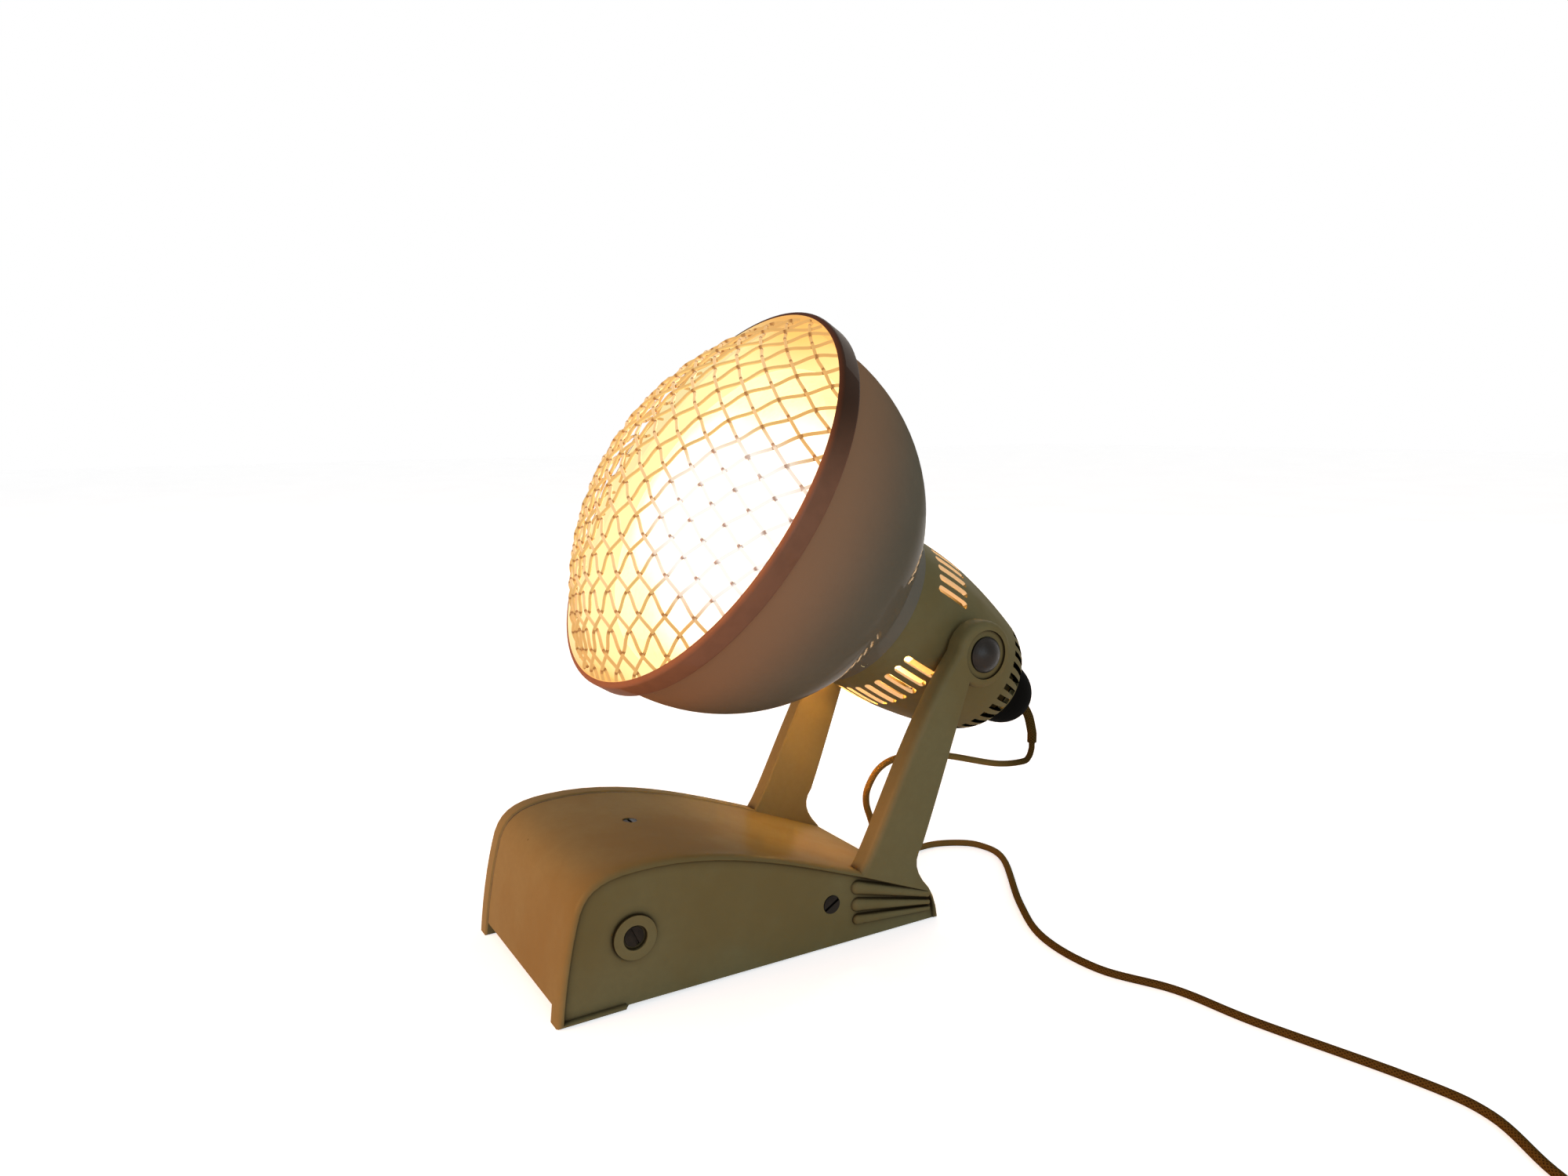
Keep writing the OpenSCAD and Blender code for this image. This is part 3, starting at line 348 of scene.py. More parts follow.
def glowing(tree, shader, tone, strength):
    tree.links.new(tone, shader.inputs["Emission Color"])
    shader.inputs["Emission Strength"].default_value = strength


def moulded(name, main, aged, roughness=0.34, speck=0.5, ripple=90.0, coat=0.08, soil_and_hollow_shade=None):
    """Glossy moulding with yellowed patches, small specks, a faint ripple, and its hollows darkened by
    occlusion as painted shade with soiling.
    """
    material, tree, shader = finish_of(name)
    age = placed(tree, "ageing")
    tone = blended(tree, age["Patches"], main, aged)
    mottle = ranged(tree, age["Mottle"], 0.3, 0.7, 0.0, 0.22)
    tone = blended(tree, mottle, tone, [c * 0.82 for c in main])
    tone = blended(tree, maths(tree, "MULTIPLY", age["Specks"], speck), tone, [c * 0.25 for c in aged])
    # Ambient occlusion darkens the hollows: painted shade, with soiling mixed in.
    if soil_and_hollow_shade:
        width = 0.0035
        hollow = add(tree, "ShaderNodeAmbientOcclusion", {"Distance": width}, samples=8, only_local=True)
        tone = blended(tree, ranged(tree, hollow.outputs["AO"], 0.55, 0.97, 0.95, 0.0), tone, soil_and_hollow_shade)
    tree.links.new(tone, shader.inputs["Base Color"])
    tree.links.new(ranged(tree, age["Patches"], 0, 1, roughness - 0.06, roughness + 0.1),
                   shader.inputs["Roughness"])
    shader.inputs["Specular IOR Level"].default_value = 0.0
    shader.inputs["Coat Weight"].default_value = coat
    shader.inputs["Coat Roughness"].default_value = roughness * 0.7
    bumped(tree, shader, placed(tree, "moulded surface", ripple=ripple)["Height"], 0.1, 0.0003)
    return material


def metal(name, main, roughness, metallic=1.0, stretch=(1.0, 14.0, 14.0), tarnish=0.5):
    """Rubbed metal with tarnish in patches."""
    material, tree, shader = finish_of(name)
    rub = placed(tree, "rubbed metal", stretch=stretch)
    dull = maths(tree, "MULTIPLY", rub["Tarnish"], tarnish)
    tree.links.new(blended(tree, dull, main, [c * 0.45 for c in main]), shader.inputs["Base Color"])
    tree.links.new(ranged(tree, rub["Lines"], 0.3, 0.7, roughness - 0.08, roughness + 0.12),
                   shader.inputs["Roughness"])
    shader.inputs["Metallic"].default_value = metallic
    bumped(tree, shader, rub["Lines"], 0.08, 0.0001)
    return material


def glare(tree, near, far):
    """1 round the place that the filament washes out, down to 0 away from it."""
    hot = bpy.context.scene.lamp_guard.hot
    distance = vectors(tree, "DISTANCE", object_place(tree), hot, "Value")
    return ranged(tree, distance, near, far, 1.0, 0.0)


def dress(material, *names):
    for name in names:
        data = NODES[name].data
        data.materials.clear()
        data.materials.append(material)


def mesh_piece(name, points, faces, material, body=None, smooth=True):
    data = bpy.data.meshes.new(name)
    data.from_pydata(points, [], faces)
    data.validate()
    data.materials.append(material)
    data.polygons.foreach_set("use_smooth", [smooth] * len(data.polygons))
    piece = bpy.data.objects.new(name, data)
    bpy.context.scene.collection.objects.link(piece)
    if body:
        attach(piece, body)
    return piece


def tube(path, radius, sides, up):
    """Points, faces and map of a round tube along a path; the ring's frame turns as little as it can."""
    points, faces, chart = [], [], []
    travelled = 0.0
    side = Vector(up)
    last = len(path) - 1
    for i, place in enumerate(path):
        along = (path[min(i + 1, last)] - path[max(i - 1, 0)]).normalized()
        side = (side - side.dot(along) * along).normalized()
        across = along.cross(side)
        if i:
            travelled += (place - path[i - 1]).length
        for k in range(sides):
            a = 2 * math.pi * k / sides
            points.append(place + radius * (math.cos(a) * side + math.sin(a) * across))
            chart.append(travelled)
    for i in range(last):
        for k in range(sides):
            a, b = i * sides + k, i * sides + (k + 1) % sides
            faces.append((a, b, b + sides, a + sides))
    faces.append(tuple(reversed(range(sides))))
    faces.append(tuple(last * sides + k for k in range(sides)))
    return points, faces, chart


def tube_piece(name, path, radius, sides, up, material, body=None):
    points, faces, chart = tube(path, radius, sides, up)
    piece = mesh_piece(name, points, faces, material, body)
    layer = piece.data.uv_layers.new(name="round and along")
    for polygon in piece.data.polygons:
        ring = [piece.data.loops[i].vertex_index % sides for i in polygon.loop_indices]
        wraps = 0 in ring and sides - 1 in ring
        for index, k in zip(polygon.loop_indices, ring):
            around = 1.0 if wraps and k == 0 else k / sides
            layer.data[index].uv = (around, chart[piece.data.loops[index].vertex_index])
    return piece


def smooth_route(points, steps):
    """A smooth path through the points, straight in its first and last step."""
    inner = points[1:-1]
    path = [points[0]]
    last = len(inner) - 1
    for i in range(last):
        a, b, c, d = inner[max(i - 1, 0)], inner[i], inner[i + 1], inner[min(i + 2, last)]
        for j in range(steps):
            t = j / steps
            path.append(0.5 * (2 * b + t * (c - a) + t * t * (2 * a - 5 * b + 4 * c - d)
                               + t ** 3 * (3 * b - a - 3 * c + d)))
    return path + [inner[-1], points[-1]]


class LAMP_OT_camera(bpy.types.Operator):
    """Set the camera at the photograph's viewing angle"""
    bl_idname = "lamp.camera"
    bl_label = "Camera"

    def execute(self, context):
        azimuth, pitch, roll = (math.radians(a) for a in (58.85, 8.517, -0.582))
        stand = (0.363407, -0.225075, 0.191628)
        focal_pixels, picture_width = 1418.964, 2000
        away = Vector((-math.sin(azimuth) * math.cos(pitch), math.cos(azimuth) * math.cos(pitch),
                       -math.sin(pitch)))
        level = Vector((math.cos(azimuth), math.sin(azimuth), 0))
        above = level.cross(away)
        right = math.cos(roll) * level + math.sin(roll) * above
        top = math.cos(roll) * above - math.sin(roll) * level
        camera = bpy.data.cameras.new("camera")
        camera.sensor_width = 36
        camera.lens = camera.sensor_width * focal_pixels / picture_width
        camera.clip_start = 0.01
        place = bpy.data.objects.new("camera", camera)
        turn = Matrix((right, top, -away)).transposed().to_4x4()
        place.matrix_world = Matrix.Translation(stand) @ turn
        context.scene.collection.objects.link(place)
        context.scene.camera = place
        return {"FINISHED"}


class LAMP_OT_cord(bpy.types.Operator):
    """Lay the braided cord, its sleeve and its coil"""
    bl_idname = "lamp.cord"
    bl_label = "Cord"
    gland_end = 0.1898
    coil_hole = 0.008
    coil_shift = 0.006

    def execute(self, context):
        cord = context.scene.lamp_cord
        lie = cord.diameter / 2 + 0.0001
        exit_point = RIM_CENTRE + self.gland_end * HEAD_AXIS
        sleeve_end = Vector((0, 0.1262, 0.0455))
        coil_start = Vector((0.282, 0.0645, lie))
        down = Vector((0, 0, -1))
        sleeve_route = [exit_point, exit_point + cord.sleeve * HEAD_AXIS, Vector((0, 0.124, 0.0575)),
                        sleeve_end - cord.sleeve * down, sleeve_end]
        # the hanging loop and the stretch on the table, in millimetres
        hung = [(0, 124.6, 38.9), (0, 120.4, 37.2), (0, 104.7, 39), (0, 78.1, 46.9), (0, 61.4, 50.6),
                (0, 47.9, 50.7), (0, 39.6, 47.6), (0, 34.5, 40.9), (0, 33.4, 35.3), (0, 35, 29.1),
                (-2, 41.8, 16.1), (-8, 57.3, 4.6)]
        laid = [(-14.3, 75.5), (-10.6, 89.4), (-1.4, 97.6), (15.8, 95.6), (52.7, 70.7), (79.7, 57),
                (107.4, 56.1), (131.8, 67), (158.6, 71.8), (202.1, 83.2), (223.3, 84.4), (244, 73.5),
                (265, 66.5)]
        run_route = ([sleeve_end, sleeve_end + cord.diameter * down]
                     + [Vector(p) / 1000 for p in hung]
                     + [Vector((x / 1000, y / 1000, lie)) for x, y in laid]
                     + [coil_start - Vector((cord.diameter, 0, 0)), coil_start])
        sleeve_path = smooth_route(sleeve_route, 6)
        run_path = smooth_route(run_route, 8)
        for place in run_path:
            place.z = max(place.z, lie)
        coil_path = self.coil(cord, coil_start)
        path = sleeve_path[:-1] + run_path[:-1] + coil_path
        braid = self.braid(cord)
        piece = tube_piece("braided_cord", path, cord.diameter / 2, 12, (1, 0, 0), braid)
        sleeve = tube_piece("braided_sleeve", sleeve_path, cord.sleeve / 2, 16, (1, 0, 0), braid, "head")
        tie = self.tie(cord, coil_start)
        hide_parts("cord_run", "cord_coil")
        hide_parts("cord_sleeve")
        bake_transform(piece)
        return {"FINISHED"}

    def coil_size(self, cord):
        """Distance between two turns of the coil, and the radius of its outer turn."""
        pitch = cord.diameter + cord.gap
        return pitch, self.coil_hole + cord.loops * pitch

    def coil(self, cord, start):
        """The coil spirals in, climbs a layer and spirals out again to the plug."""
        pitch, wide = self.coil_size(cord)
        turns, back = 2 * cord.loops + 1, cord.loops + 0.25

        def at(t):
            r = wide - pitch * (t if t < back else 2 * back - t)
            a = 2 * math.pi * t - math.pi / 2
            climb = min(max((t - cord.loops) / 0.5, 0), 1)
            return start + Vector((self.coil_shift + r * math.cos(a), wide + r * math.sin(a),
                                   climb * pitch))

        steps = 36
        path = [start, start + Vector((cord.diameter, 0, 0))]
        path += [at(i / steps) for i in range(turns * steps + 1)]
        end, tail, plug_height = at(turns), 0.028, 0.014
        for i in range(1, 11):
            t = i / 10
            path.append(end + Vector((tail * t * 0.9, 0, (plug_height - end.z) * t * t * (3 - 2 * t))))
        return path + [Vector((end.x + tail, end.y, plug_height))]

    def braid(self, cord):
        material, tree, shader = finish_of("braided_cotton")
        weave = placed(tree, "braid", strands=float(cord.strands), lay=0.011)
        tone = blended(tree, ranged(tree, weave["Height"], 0.35, 0.95), cord.brown, cord.tan)
        fuzz = ranged(tree, weave["Fuzz"], 0.35, 0.75, 0.0, 0.4)
        tone = blended(tree, fuzz, tone, [c * 1.35 for c in cord.tan])
        tone = blended(tree, ranged(tree, weave["Cross"], 0.7, 1.0, 0.0, 0.35), tone, cord.brown)
        # Painted light: the braid is lighter past the sleeve and near the lamp, where the glow from the slots
        # falls.
        along = add(tree, "ShaderNodeSeparateXYZ", {0: object_map(tree)}).outputs[1]
        past_sleeve, by_lamp = ranged(tree, along, 0.03, 0.06), ranged(tree, along, 0.14, 0.34, 0.65, 0.0)
        near = maths(tree, "MULTIPLY", past_sleeve, by_lamp)
        tree.links.new(blended(tree, near, tone, cord.clean), shader.inputs["Base Color"])
        tree.links.new(ranged(tree, weave["Fuzz"], 0.2, 0.8, 0.75, 0.95), shader.inputs["Roughness"])
        shader.inputs["Specular IOR Level"].default_value = 0.0
        height = maths(tree, "MULTIPLY_ADD", weave["Fuzz"], 0.4, weave["Height"])
        bumped(tree, shader, height, 0.7, 0.0002)
        return material

    def tie(self, cord, start):
        """A wrapped band round one side of the coil."""
        pitch, wide = self.coil_size(cord)
        middle = start + Vector((self.coil_shift, wide, 0))
        inner, outer = self.coil_hole - 0.6 * pitch, wide + 0.6 * cord.diameter + 0.0005
        low, high = 0.00006, 2 * pitch + 0.0004
        ring, corner = [], 0.0018
        corners = [(inner + corner, low + corner, 180), (outer - corner, low + corner, 270),
                   (outer - corner, high - corner, 0), (inner + corner, high - corner, 90)]
        for x, z, first in corners:
            for i in range(7):
                a = math.radians(first + 15 * i)
                ring.append((x + corner * math.cos(a), z + corner * math.sin(a)))
        thick, half = 0.00045, 0.0035
        points, faces = [], []
        count = len(ring)
        centre = ((inner + outer) / 2, (low + high) / 2)
        for shift, y in ((0, -half), (0, half), (thick, half), (thick, -half)):
            for x, z in ring:
                away = Vector((x - centre[0], z - centre[1])).normalized() * -shift
                points.append(middle + Vector((x + away.x, y, z - start.z + away.y)))
        for layer in range(4):
            for i in range(count):
                j = (i + 1) % count
                a, b = layer * count, (layer + 1) % 4 * count
                faces.append((a + i, a + j, b + j, b + i))
        band, tree, shader = finish_of("paper_band")
        age = placed(tree, "ageing", patch_size=160.0, mottle_size=1400.0)
        tree.links.new(blended(tree, age["Mottle"], cord.tan, cord.brown), shader.inputs["Base Color"])
        tree.links.new(ranged(tree, age["Patches"], 0, 1, 0.7, 0.9), shader.inputs["Roughness"])
        return mesh_piece("coil_band", points, faces, band, "base")


class LAMP_OT_guard(bpy.types.Operator):
    """Weave the guard from crimped wires over the dome"""
    bl_idname = "lamp.guard"
    bl_label = "Guard"

    def execute(self, context):
        guard = context.scene.lamp_guard
        ball = (guard.seat ** 2 + guard.rise ** 2) / (2 * guard.rise)
        step = guard.pitch / ball
        most = math.floor(math.asin(guard.reach / ball) / step - 0.8)
        sets = (("woven_warp", "guard_warp", guard.turn, 1, guard.warp),
                ("woven_weft", "guard_weft", guard.turn + math.pi / 2, -1, guard.weft))
        sides = 8
        for name, node, turn, sense, lit in sets:
            wire = self.finish(context, guard, name.replace("woven", "bronzed"), lit)
            placing = HEAD @ Matrix.Rotation(turn, 4, "Z")
            if sense < 0:
                placing = placing @ Matrix.Scale(-1, 4, (0, 1, 0))
            points, faces, knots = [], [], []
            for i in range(-most - 1, most + 1):
                line = self.wire(guard, ball, step, i, sense)
                path = [placing @ place for place, knot in line]
                ring, skin, _ = tube(path, guard.wire / 2, sides, placing.to_3x3() @ Vector((0, 0, 1)))
                first = len(points)
                points += ring
                knots += [knot for place, knot in line for k in range(sides)]
                faces += [tuple(first + k for k in face) for face in skin]
            piece = mesh_piece(name, points, faces, wire, "head")
            layer = piece.data.uv_layers.new(name="knots")
            for loop in piece.data.loops:
                layer.data[loop.index].uv = (knots[loop.vertex_index], 0.5)
            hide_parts(node)
        return {"FINISHED"}

    def finish(self, context, guard, name, lit):
        """Bronze that glows before the bulb, is washed out where it is hottest, and is dark in its knots."""
        material = metal(name, guard.bronze, 0.36, 0.4, (1.0, 1.0, 1.0), 0.7)
        tree = material.node_tree
        shader = tree.nodes["Principled BSDF"]
        shader.inputs["Specular IOR Level"].default_value = 0.0
        radius = placed(tree, "head place")["Radius"]
        knot = add(tree, "ShaderNodeSeparateXYZ", {0: object_map(tree)}).outputs[0]
        glow = blended(tree, ranged(tree, radius, 0.05, 0.07), lit, guard.rim)
        glow = blended(tree, glare(tree, 0.02, 0.036), glow, context.scene.lamp_light.hot)
        dark = ranged(tree, knot, 0.92, 0.99, 0.0, 0.8)
        glowing(tree, shader, blended(tree, dark, glow, guard.knot), 0.95)
        return material

    def wire(self, guard, ball, step, i, sense):
        """One wire's middle line on the dome, over and under the wires that it crosses, and its knots."""
        q = ball * math.sin((i + 0.5) * step)
        end = math.asin(math.sqrt(guard.reach ** 2 - q * q) / ball)
        crimp = guard.wire / 2 + 0.00005
        count = 2 * math.ceil(end / step * 6)
        path = []
        for k in range(count + 1):
            a = -end + 2 * end * k / count
            p = ball * math.sin(a)
            wave = math.cos(math.pi * (i + a / step - 0.5))
            v = Vector((p, q, -math.sqrt(ball * ball - p * p - q * q)))
            v *= 1 + sense * crimp * wave / ball
            path.append((v + Vector((0, 0, guard.depth + ball - guard.rise)), abs(wave)))
        return path


class LAMP_OT_mouldings(bpy.types.Operator):
    """Finish the base, the arms and the neck, with soiling and painted shade darkening their grooves"""
    bl_idname = "lamp.mouldings"
    bl_label = "Mouldings"

    def execute(self, context):
        finish = context.scene.lamp_finish
        cream = moulded("cream_moulding", finish.cream, finish.cream_aged, soil_and_hollow_shade=tuple(finish.grime_and_shade))
        dress(cream, "cheek_left", "cheek_right", "base_shell")
        dress(self.neck(context, finish), "neck_housing")
        for name in ("cheek_left", "cheek_right", "base_shell", "neck_housing"):
            soften(NODES[name])
        grime_and_shade = self.grime_and_shade(finish)
        points, faces = self.shell_seams()
        mesh_piece("shell_seam_dirt", points, faces, grime_and_shade, "base")
        return {"FINISHED"}

    def neck(self, context, finish):
        """Cream moulding with a painted glow inside round its slots and painted shade inside its tail."""
        light = context.scene.lamp_light
        material = moulded("cream_neck", finish.cream, finish.cream_aged)
        tree = material.node_tree
        place = placed(tree, "head place")
        lit = maths(tree, "MULTIPLY", place["Inside"], ranged(tree, place["Depth"], 0.122, 0.145, 1.0, 0.0))
        # Glossy rays see this glow eleven times brighter: a painted reflection of the slots on the shade's
        # polished band.
        mirrored, gain = tree.nodes.new("ShaderNodeLightPath").outputs["Is Glossy Ray"], 11.0
        lit = maths(tree, "MULTIPLY", lit, maths(tree, "MULTIPLY_ADD", mirrored, gain, 1.0))
        shader = tree.nodes["Principled BSDF"]
        # Painted shade: almost black inside the tail, behind the holder's plate.
        dark = maths(tree, "MULTIPLY", place["Inside"], ranged(tree, place["Depth"], 0.138, 0.15))
        recoloured(tree, shader, dark, (0.002, 0.002, 0.001))
        glowing(tree, shader, scaled(tree, light.slots, lit), 1.0)
        return material

    def grime_and_shade(self, finish):
        material, tree, shader = finish_of("groove_dirt")
        age = placed(tree, "ageing", patch_size=120.0, mottle_size=900.0)
        tone = blended(tree, maths(tree, "MULTIPLY", age["Patches"], 0.5), finish.grime_and_shade, finish.cream_aged)
        tree.links.new(tone, shader.inputs["Base Color"])
        tree.links.new(ranged(tree, age["Mottle"], 0.3, 0.7, 0.6, 0.9), shader.inputs["Roughness"])
        return material

    def shell_seams(self):
        """A thin dark line of soiling where the cover meets the left cheek."""
        made = bmesh.new()
        made.from_mesh(NODES["base_shell"].data)
        bmesh.ops.remove_doubles(made, verts=made.verts, dist=1e-6)
        edge_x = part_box("base_shell")[1].x
        points, faces = [], []
        for edge in made.edges:
            if len(edge.link_faces) != 2 or any(abs(v.co.x + edge_x) > 1e-5 for v in edge.verts):
                continue
            skin = [f for f in edge.link_faces if abs(f.normal.x) < 0.5]
            if len(skin) != 1 or skin[0].normal.z < 0.02 and skin[0].normal.y > -0.5:
                continue
            inward = Vector((0.0006, 0, 0))
            lift = skin[0].normal * 0.00003
            a, b = (v.co + lift for v in edge.verts)
            first = len(points)
            points += [a, b, b + inward, a + inward]
            faces.append((first, first + 1, first + 2, first + 3))
        made.free()
        return points, faces


def soften(piece, degrees=32):
    """Smooth shading across the small turns of a lofted or turned surface, with real edges kept sharp."""
    weld = piece.modifiers.new("weld", "WELD")
    weld.merge_threshold = 1e-6
    piece.modifiers.new("smooth", "NODES").node_group = smooth_turns(degrees)


def smooth_turns(degrees):
    """Shades every face smooth and keeps each edge sharp that turns more than the given angle."""
    name = "smooth turns %d" % degrees
    if name in bpy.data.node_groups:
        return bpy.data.node_groups[name]
    tree = bpy.data.node_groups.new(name, "GeometryNodeTree")
    for side in ("INPUT", "OUTPUT"):
        tree.interface.new_socket("Geometry", in_out=side, socket_type="NodeSocketGeometry")
    shape = tree.nodes.new("NodeGroupInput").outputs[0]
    angle = tree.nodes.new("GeometryNodeInputMeshEdgeAngle").outputs[0]
    sharp = add(tree, "FunctionNodeCompare", {0: angle, 1: math.radians(degrees)}, operation="GREATER_THAN")
    smooth = add(tree, "GeometryNodeSetShadeSmooth", {0: shape, 2: True}, domain="FACE")
    kept = add(tree, "GeometryNodeSetShadeSmooth", {0: smooth.outputs[0], 1: sharp.outputs[0], 2: False},
               domain="EDGE")
    tree.links.new(kept.outputs[0], tree.nodes.new("NodeGroupOutput").inputs[0])
    return tree


class LAMP_OT_shade(bpy.types.Operator):
    """Finish the enamelled shade and the bezel"""
    bl_idname = "lamp.shade"
    bl_label = "Shade"

    def execute(self, context):
        finish, light = context.scene.lamp_finish, context.scene.lamp_light
        dress(self.enamel(finish, light), "shade", "collar_rivets")
        dress(self.ring(finish, light), "bezel_ring")
        soften(NODES["shade"])
        soften(NODES["bezel_ring"])
        return {"FINISHED"}

    def enamel(self, finish, light):
        """Enamel with a heat tint and painted warm light towards the bezel, polished towards the neck, and a
        painted glow inside.
        """
        material = moulded("grey_enamel", finish.enamel, [c * 0.9 for c in finish.enamel], roughness=0.2,
                           speck=0.35, ripple=60.0, coat=0.0)
        tree = material.node_tree
        shader = tree.nodes["Principled BSDF"]
        place = placed(tree, "head place")
        # Towards the bezel: a heat tint with painted warm light.
        recoloured(tree, shader, ranged(tree, place["Depth"], 0.004, 0.05, 0.85, 0.0), finish.rim_tint_and_warm_light)
        tree.links.new(ranged(tree, place["Depth"], 0.05, 0.068, 0.0, 0.25), shader.inputs["Coat Weight"])
        shader.inputs["Coat Roughness"].default_value = 0.08
        inner = blended(tree, ranged(tree, place["Depth"], 0.004, 0.034), light.ember, light.edge)
        inner = blended(tree, self.far_side(tree), inner, light.glow)
        inner = blended(tree, glare(tree, 0.03, 0.06), inner, light.hot)
        # The flange's front face behind the guard gets the painted glow as well.
        front = maths(tree, "LESS_THAN", place["Depth"], 0.0052)
        seen = maths(tree, "MAXIMUM", place["Inside"], front)
        glowing(tree, shader, blended(tree, seen, (0, 0, 0), inner), 0.95)
        return material

    def ring(self, finish, light):
        """Copper brown with painted shade on its upper side and a painted glow inside."""
        material = metal("copper_brown_ring", finish.bezel, 0.34, 0.0, (1.0, 1.0, 1.0), 0.15)
        tree = material.node_tree
        shader = tree.nodes["Principled BSDF"]
        shader.inputs["Specular IOR Level"].default_value = 0.0
        shader.inputs["Coat Weight"].default_value = 0.1
        height = add(tree, "ShaderNodeSeparateXYZ", {0: object_place(tree)}).outputs[2]
        # Painted shade: the ring's upper side is darker.
        recoloured(tree, shader, ranged(tree, height, 0.166, 0.2, 0.0, 0.95), finish.bezel_painted_shade)
        inner = blended(tree, self.far_side(tree), light.ember, light.glow)
        glowing(tree, shader, blended(tree, placed(tree, "head place")["Inside"], (0, 0, 0), inner), 0.9)
        return material

    def far_side(self, tree):
        """1 on the left of the head, where the bulb lights the inside most, down to 0 at its middle."""
        across = add(tree, "ShaderNodeSeparateXYZ", {0: object_place(tree)}).outputs[0]
        return ranged(tree, across, -0.045, 0.0, 1.0, 0.0)


class LAMP_OT_bulb(bpy.types.Operator):
    """Light the bulb, and finish its cap and holder"""
    bl_idname = "lamp.bulb"
    bl_label = "Bulb"

    def execute(self, context):
        finish, light = context.scene.lamp_finish, context.scene.lamp_light
        material, tree, shader = finish_of("lit_glass")
        place = placed(tree, "head place")
        age = placed(tree, "ageing", patch_size=60.0)
        heart = ranged(tree, place["Radius"], 0.022, 0.042, 1.0, 0.0)
        tone = blended(tree, heart, light.glow, light.hot)
        tone = blended(tree, ranged(tree, place["Radius"], 0.044, 0.063), tone, light.edge)
        tone = blended(tree, ranged(tree, place["Depth"], 0.02, 0.05), tone, light.ember)
        tone = blended(tree, glare(tree, 0.042, 0.066), tone, light.hot)
        glowing(tree, shader, tone, 1.05)
        tree.links.new(blended(tree, age["Mottle"], light.glow, light.ember), shader.inputs["Base Color"])
        shader.inputs["Roughness"].default_value = 0.25
        dress(material, "bulb_glass")
        brass = metal("plain_brass", finish.brass, 0.3)
        dress(brass, "bulb_cap", "bulb_tip", "holder_sleeve", "holder_contact", "plug_pin_a", "plug_pin_b")
        ceramic = moulded("glazed_ceramic", finish.ceramic, [c * 0.86 for c in finish.ceramic], 0.22, 0.3)
        dress(ceramic, "holder_body")
        self.lamps(light)
        return {"FINISHED"}

    def lamps(self, light):
        """The bulb's own light: forward through the guard, and out through the slots of the neck."""
        beam = bpy.data.lights.new("bulb_beam", "AREA")
        beam.shape, beam.size, beam.energy = "DISK", 0.11, light.beam
        beam.color = (1.0, 0.68, 0.34)
        front = bpy.data.objects.new("bulb_beam", beam)
        front.matrix_world = HEAD @ Matrix.Translation((0, 0, -0.006))
        self.shine(front)
        for name, side, power in (("slot_glow_below", 1, 1.0), ("slot_glow_above", -1, 0.4)):
            leak = bpy.data.lights.new(name, "POINT")
            leak.shadow_soft_size, leak.energy = 0.006, light.leak * power
            leak.color = (1.0, 0.5, 0.14)
            place = bpy.data.objects.new(name, leak)
            place.matrix_world = HEAD @ Matrix.Translation((0, 0.024 * side, 0.104))
            self.shine(place)

    def shine(self, lamp):
        bpy.context.scene.collection.objects.link(lamp)
        lamp.visible_camera = False
        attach(lamp, "head")


class LAMP_OT_fittings(bpy.types.Operator):
    """Finish the screws, pivots, gland, plug and the pieces inside"""
    bl_idname = "lamp.fittings"
    bl_label = "Fittings"

    def execute(self, context):
        finish = context.scene.lamp_finish
        dress(metal("tarnished_screw", finish.screw, 0.42, 0.9, (6.0, 6.0, 6.0), 0.8), "front_screw_left",
              "front_screw_right", "rear_screw_left", "rear_screw_right", "top_screw")
        dress(metal("dull_pressed_steel", finish.dull_steel, 0.36, 0.9, (1.0, 6.0, 6.0), 0.4),
              "pivot_cap_left", "pivot_cap_right")
        dress(metal("turned_steel", finish.steel, 0.34), "tie_rod_front", "tie_rod_rear", "pivot_bolt_left",
              "pivot_bolt_right", "spring_washer_left", "spring_washer_right", "pivot_nut_left",
              "pivot_nut_right", "holder_plate", "holder_screws", "gland_nut")
        dress(moulded("vulcanised_fibre", finish.fibre, [c * 0.8 for c in finish.fibre], 0.7, 0.6),
              "friction_washer_left", "friction_washer_right")
        dress(moulded("black_gland", finish.black, [c * 1.6 for c in finish.black], 0.5, 0.2, coat=0.04),
              "cable_gland")
        dress(moulded("brown_plug", finish.brown, [c * 0.8 for c in finish.brown], 0.28, 0.3), "plug_body")
        dress(moulded("lead_sheath", finish.lead, [c * 0.8 for c in finish.lead], 0.6, 0.3), "lead_live",
              "lead_neutral")
        dress(moulded("cast_weight", finish.iron, [c * 0.6 for c in finish.iron], 0.75, 0.8, 240.0),
              "ballast_block")
        return {"FINISHED"}


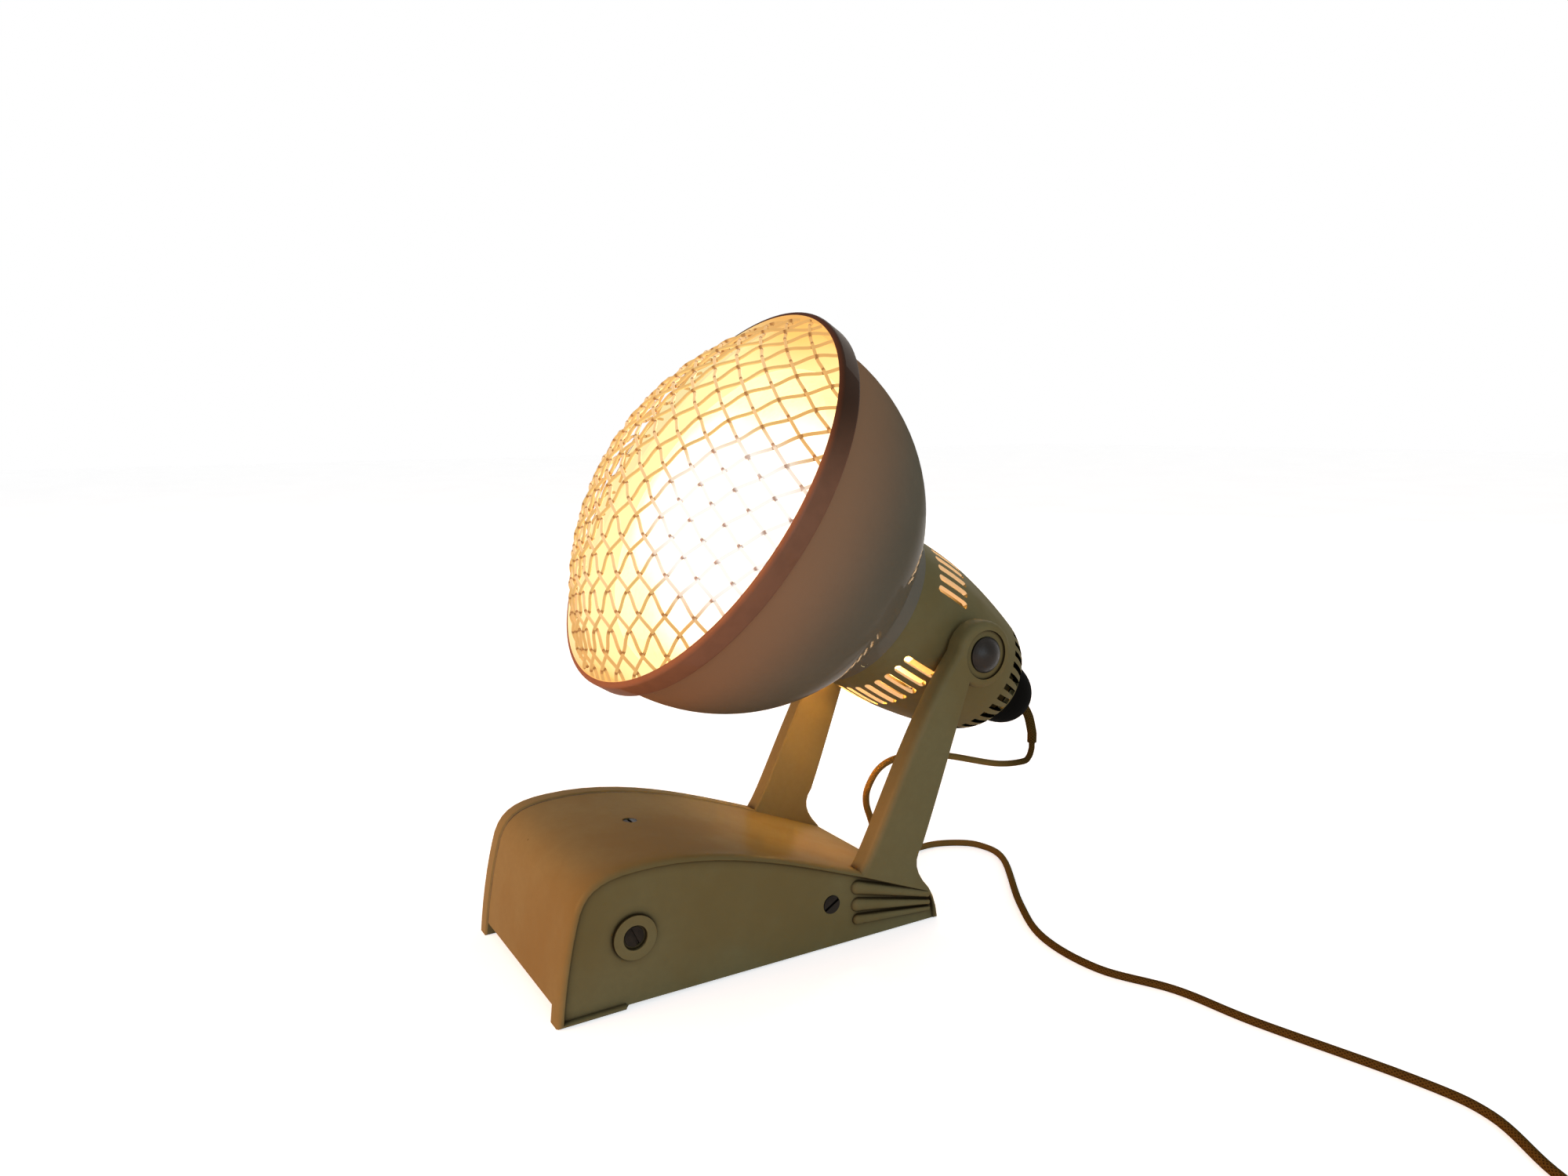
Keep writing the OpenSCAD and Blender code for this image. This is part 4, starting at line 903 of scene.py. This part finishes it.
class LAMP_OT_stage(bpy.types.Operator):
    """Set the floor, the even light and the soft lamps"""
    bl_idname = "lamp.stage"
    bl_label = "Stage"

    def execute(self, context):
        scene, light = context.scene, context.scene.lamp_light
        scene.view_settings.view_transform = "Standard"
        self.world(scene, light)
        self.floor(light)
        self.soft_lamp("front", (-0.3, -1.5, 0.6), 1.0, light.front, (1.0, 0.42, 0.14))
        self.soft_lamp("side", (1.5, -0.35, 0.45), 1.2, light.side, (0.5, 0.73, 1.0))
        self.soft_lamp("back", (-0.9, 1.3, 0.8), 1.2, light.back, (1.0, 0.93, 0.82))
        return {"FINISHED"}

    def world(self, scene, light):
        world = bpy.data.worlds.new("room")
        world.use_nodes = True
        scene.world = world
        tree = world.node_tree
        seen = self.seen(tree)
        strength = maths(tree, "MULTIPLY_ADD", seen, 1.0 - light.room, light.room)
        back = tree.nodes["Background"]
        back.inputs["Color"].default_value = (1, 1, 1, 1)
        tree.links.new(strength, back.inputs["Strength"])

    def seen(self, tree):
        """1 for what the camera sees directly, in a gloss or through glass."""
        path = tree.nodes.new("ShaderNodeLightPath").outputs
        seen = maths(tree, "MAXIMUM", path["Is Camera Ray"], path["Is Glossy Ray"])
        return maths(tree, "MAXIMUM", seen, path["Is Transmission Ray"])

    def floor(self, light):
        half = 6.0
        material, tree, shader = finish_of("pale_table")
        cloud = ranged(tree, noise(tree, object_place(tree), 6.0), 0.4, 0.6)
        tree.links.new(blended(tree, cloud, (0.86, 0.86, 0.86), (0.9, 0.9, 0.9)), shader.inputs["Base Color"])
        shader.inputs["Roughness"].default_value = 0.9
        shader.inputs["Specular IOR Level"].default_value = 0.1
        lift = maths(tree, "MULTIPLY", self.seen(tree), light.table)
        glowing(tree, shader, blended(tree, lift, (0, 0, 0), (1, 1, 1)), 1.0)
        corners = [(-half, -half, 0), (half, -half, 0), (half, half, 0), (-half, half, 0)]
        floor = mesh_piece("floor", corners, [(0, 1, 2, 3)], material, smooth=False)

    def soft_lamp(self, name, place, size, power, tint):
        lamp = bpy.data.lights.new(name, "AREA")
        lamp.size, lamp.energy, lamp.color = size, power, tint
        holder = bpy.data.objects.new(name, lamp)
        aim = Vector((0, 0, 0.1)) - Vector(place)
        holder.matrix_world = Matrix.Translation(place) @ aim.to_track_quat("-Z", "Y").to_matrix().to_4x4()
        holder.visible_camera = False
        bpy.context.scene.collection.objects.link(holder)


STEPS = (LAMP_OT_camera, LAMP_OT_cord, LAMP_OT_guard, LAMP_OT_mouldings, LAMP_OT_shade, LAMP_OT_bulb,
         LAMP_OT_fittings, LAMP_OT_stage)


class LAMP_PT_panel(bpy.types.Panel):
    """Lists the steps that dress the lamp, and its sizes and colours"""
    bl_label = "Heat Lamp"
    bl_idname = "LAMP_PT_panel"
    bl_space_type = "VIEW_3D"
    bl_region_type = "UI"
    bl_category = "Heat Lamp"

    def draw(self, context):
        for step in STEPS:
            self.layout.operator(step.bl_idname)
        for name in SETTINGS:
            settings = getattr(context.scene, name)
            box = self.layout.box()
            for key in settings.bl_rna.properties.keys():
                if key not in ("rna_type", "name"):
                    box.prop(settings, key)


SETTINGS = {"lamp_guard": LampGuardSettings, "lamp_cord": LampCordSettings,
            "lamp_finish": LampFinishSettings, "lamp_light": LampLightSettings}


def register():
    for kind in (*SETTINGS.values(), *STEPS, LAMP_PT_panel):
        bpy.utils.register_class(kind)
    for name, kind in SETTINGS.items():
        setattr(bpy.types.Scene, name, PointerProperty(type=kind))


def unregister():
    for name in SETTINGS:
        delattr(bpy.types.Scene, name)
    for kind in reversed((*SETTINGS.values(), *STEPS, LAMP_PT_panel)):
        bpy.utils.unregister_class(kind)


def main():
    register()
    for step in STEPS:
        section, name = step.bl_idname.split(".")
        getattr(getattr(bpy.ops, section), name)()
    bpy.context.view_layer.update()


if __name__ == "__main__":
    main()
